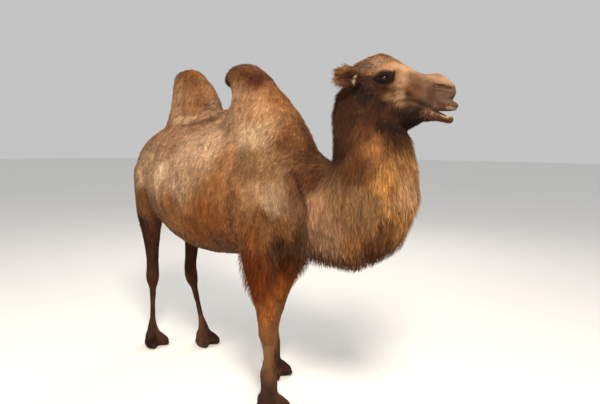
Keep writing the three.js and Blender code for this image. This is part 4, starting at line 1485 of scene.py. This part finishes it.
def wet_eye():
    wet = {"Roughness": 0.04, "IOR": 1.376, "Specular IOR Level": 0.5}
    material, tree, skin = new_material("wet eye with a dark brown iris", wet)
    seen = add(tree, "Attribute", attribute_name="gaze")
    flat = add(tree, "Mapping", {"Vector": seen.outputs["Vector"], "Scale": (1.0, 1.0, 0.0)})
    oval = add(tree, "Mapping", {"Vector": seen.outputs["Vector"], "Scale": (0.55, 1.25, 0.0)})
    from_middle = add(tree, "VectorMath", {0: flat.outputs["Vector"]}, operation="LENGTH")
    from_pupil = add(tree, "VectorMath", {0: oval.outputs["Vector"]}, operation="LENGTH")
    rays = add(tree, "TexNoise", {"Vector": seen.outputs["Vector"], "Scale": 14.0, "Detail": 3.0})
    iris = add(tree, "ValToRGB", {"Fac": rays.outputs["Fac"]})
    iris.color_ramp.elements[0].color = opaque("#0b0503")
    iris.color_ramp.elements[1].color = opaque("#1f0f07")
    away, far = from_pupil.outputs["Value"], from_middle.outputs["Value"]
    pupil = add(tree, "MapRange", {"Value": away, "From Min": 0.17, "From Max": 0.24})
    white = add(tree, "MapRange", {"Value": far, "From Min": 0.66, "From Max": 0.76})
    inner = add(tree, "Mix", {
        MIX_FACTOR: pupil.outputs["Result"], MIX_FROM: opaque("#070707"), MIX_TO: iris.outputs["Color"],
    }, data_type="RGBA")
    whole = add(tree, "Mix", {
        MIX_FACTOR: white.outputs["Result"], MIX_FROM: inner.outputs[MIX_RESULT], MIX_TO: opaque("#120b08"),
    }, data_type="RGBA")
    tree.links.new(whole.outputs[MIX_RESULT], skin.inputs["Base Color"])
    return material


eye_finish = wet_eye()
eyeballs = {side_name: eyeball(side_name) for side_name in EYES}
for eye in eyeballs.values():
    eye.data.materials.append(eye_finish)
print("eyeballs of radius", EYE_RADIUS)

# %% [markdown]
# ## Lashes
# Long lashes keep sand out of a camel's eyes. They root in a ragged row along the edge of the upper lid
# and droop outwards. They are locks too, only thinner and darker, so the same loom makes them.

# %% Lashes
LASHES = 30
LASH_LENGTH, LASH_WIDTH, LASH_LIFT = 0.021, 0.0006, 0.30


def lashes(side_name, seed):
    number = np.random.default_rng(seed)
    out, across, high = eye_axes(side_name)
    wide = np.linspace(-0.92, 0.92, LASHES) * OPENING_WIDE
    tall = OPENING_HIGH * (1 - (wide / OPENING_WIDE) ** 2) + number.uniform(0.001, 0.004, LASHES)
    deep = np.sqrt(LID_RADIUS ** 2 - wide ** 2 - tall ** 2) - 0.001
    roots = EYES[side_name] + wide[:, None] * across + tall[:, None] * high + deep[:, None] * out
    lie = unit(out + across * (wide / OPENING_WIDE * 0.5)[:, None] - high * 0.20)
    fringe = {
        "lie": lie, "length": np.full(LASHES, LASH_LENGTH), "width": np.full(LASHES, LASH_WIDTH),
        "lift": np.full(LASHES, LASH_LIFT), "tone": np.tile(TONES["soot"], (LASHES, 1)),
    }
    normals = np.tile(high, (LASHES, 1))
    spots = np.column_stack((np.linspace(0.1, 0.9, LASHES), np.full(LASHES, 0.5)))
    flat, straight = np.zeros(LASHES), np.zeros((LASHES, 3))
    return woven(
        "lashes_" + side_name, roots, normals, spots, fringe,
        flat + 1, straight, flat, flat + 1, straight, 3, seed,
    )


lash_pieces = {side_name: lashes(side_name, seed) for seed, side_name in enumerate(EYES, 300)}
for piece in lash_pieces.values():
    piece.data.materials.append(summer_wool)
print(LASHES, "lashes over each eye")

# %% [markdown]
# ## Nails
# Each toe ends in a small blunt nail of horn, the same stuff as a hoof: worn, dark brown and ridged along
# its growth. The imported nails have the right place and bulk, so each is copied and its facets are rounded
# off by Subdivision Surface, which also draws it in a little under the hair of the toe.

# %% Horn
horn, horn_tree, horn_skin = new_material("worn nail horn", {"Roughness": 0.6, "Specular IOR Level": 0.2})
horn_spot = add(horn_tree, "TexCoord")
growth = add(horn_tree, "Mapping", {"Vector": horn_spot.outputs["Object"], "Scale": (1.0, 1.0, 5.0)})
ridges = add(horn_tree, "TexNoise", {"Vector": growth.outputs["Vector"], "Scale": 90.0, "Detail": 4.0})
horn_ramp = add(horn_tree, "ValToRGB", {"Fac": ridges.outputs["Fac"]})
for stop, position, colour in zip(horn_ramp.color_ramp.elements, (0.3, 0.7), ("#140c08", "#2a1b12")):
    stop.position = position
    stop.color = opaque(colour)
horn_bump = add(horn_tree, "Bump", {"Height": ridges.outputs["Fac"], "Strength": 0.4, "Distance": 0.001})
horn_tree.links.new(horn_ramp.outputs["Color"], horn_skin.inputs["Base Color"])
horn_tree.links.new(horn_bump.outputs["Normal"], horn_skin.inputs["Normal"])
nails = {}
for name in [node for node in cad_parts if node.startswith("nail_")]:
    nails[name] = finished(copied("smooth_" + name, [name]), "SUBSURF", levels=2, render_levels=2)
    nails[name].data.materials.append(horn)
    bpy.ops.object.shade_smooth()
print(len(nails), "nails")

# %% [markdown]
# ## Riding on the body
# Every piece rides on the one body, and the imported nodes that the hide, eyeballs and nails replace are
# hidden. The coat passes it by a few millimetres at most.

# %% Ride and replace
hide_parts(*FLESH)
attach(hide, "root")
for name, piece in coat_pieces.items():
    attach(piece, "root")
for side_name in EYES:
    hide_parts("eye_" + side_name)
    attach(eyeballs[side_name], "root")
    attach(lash_pieces[side_name], "root")
for name, piece in nails.items():
    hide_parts(name)
    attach(piece, "root")
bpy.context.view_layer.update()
print("all done in", round(time.perf_counter() - started, 1), "s")
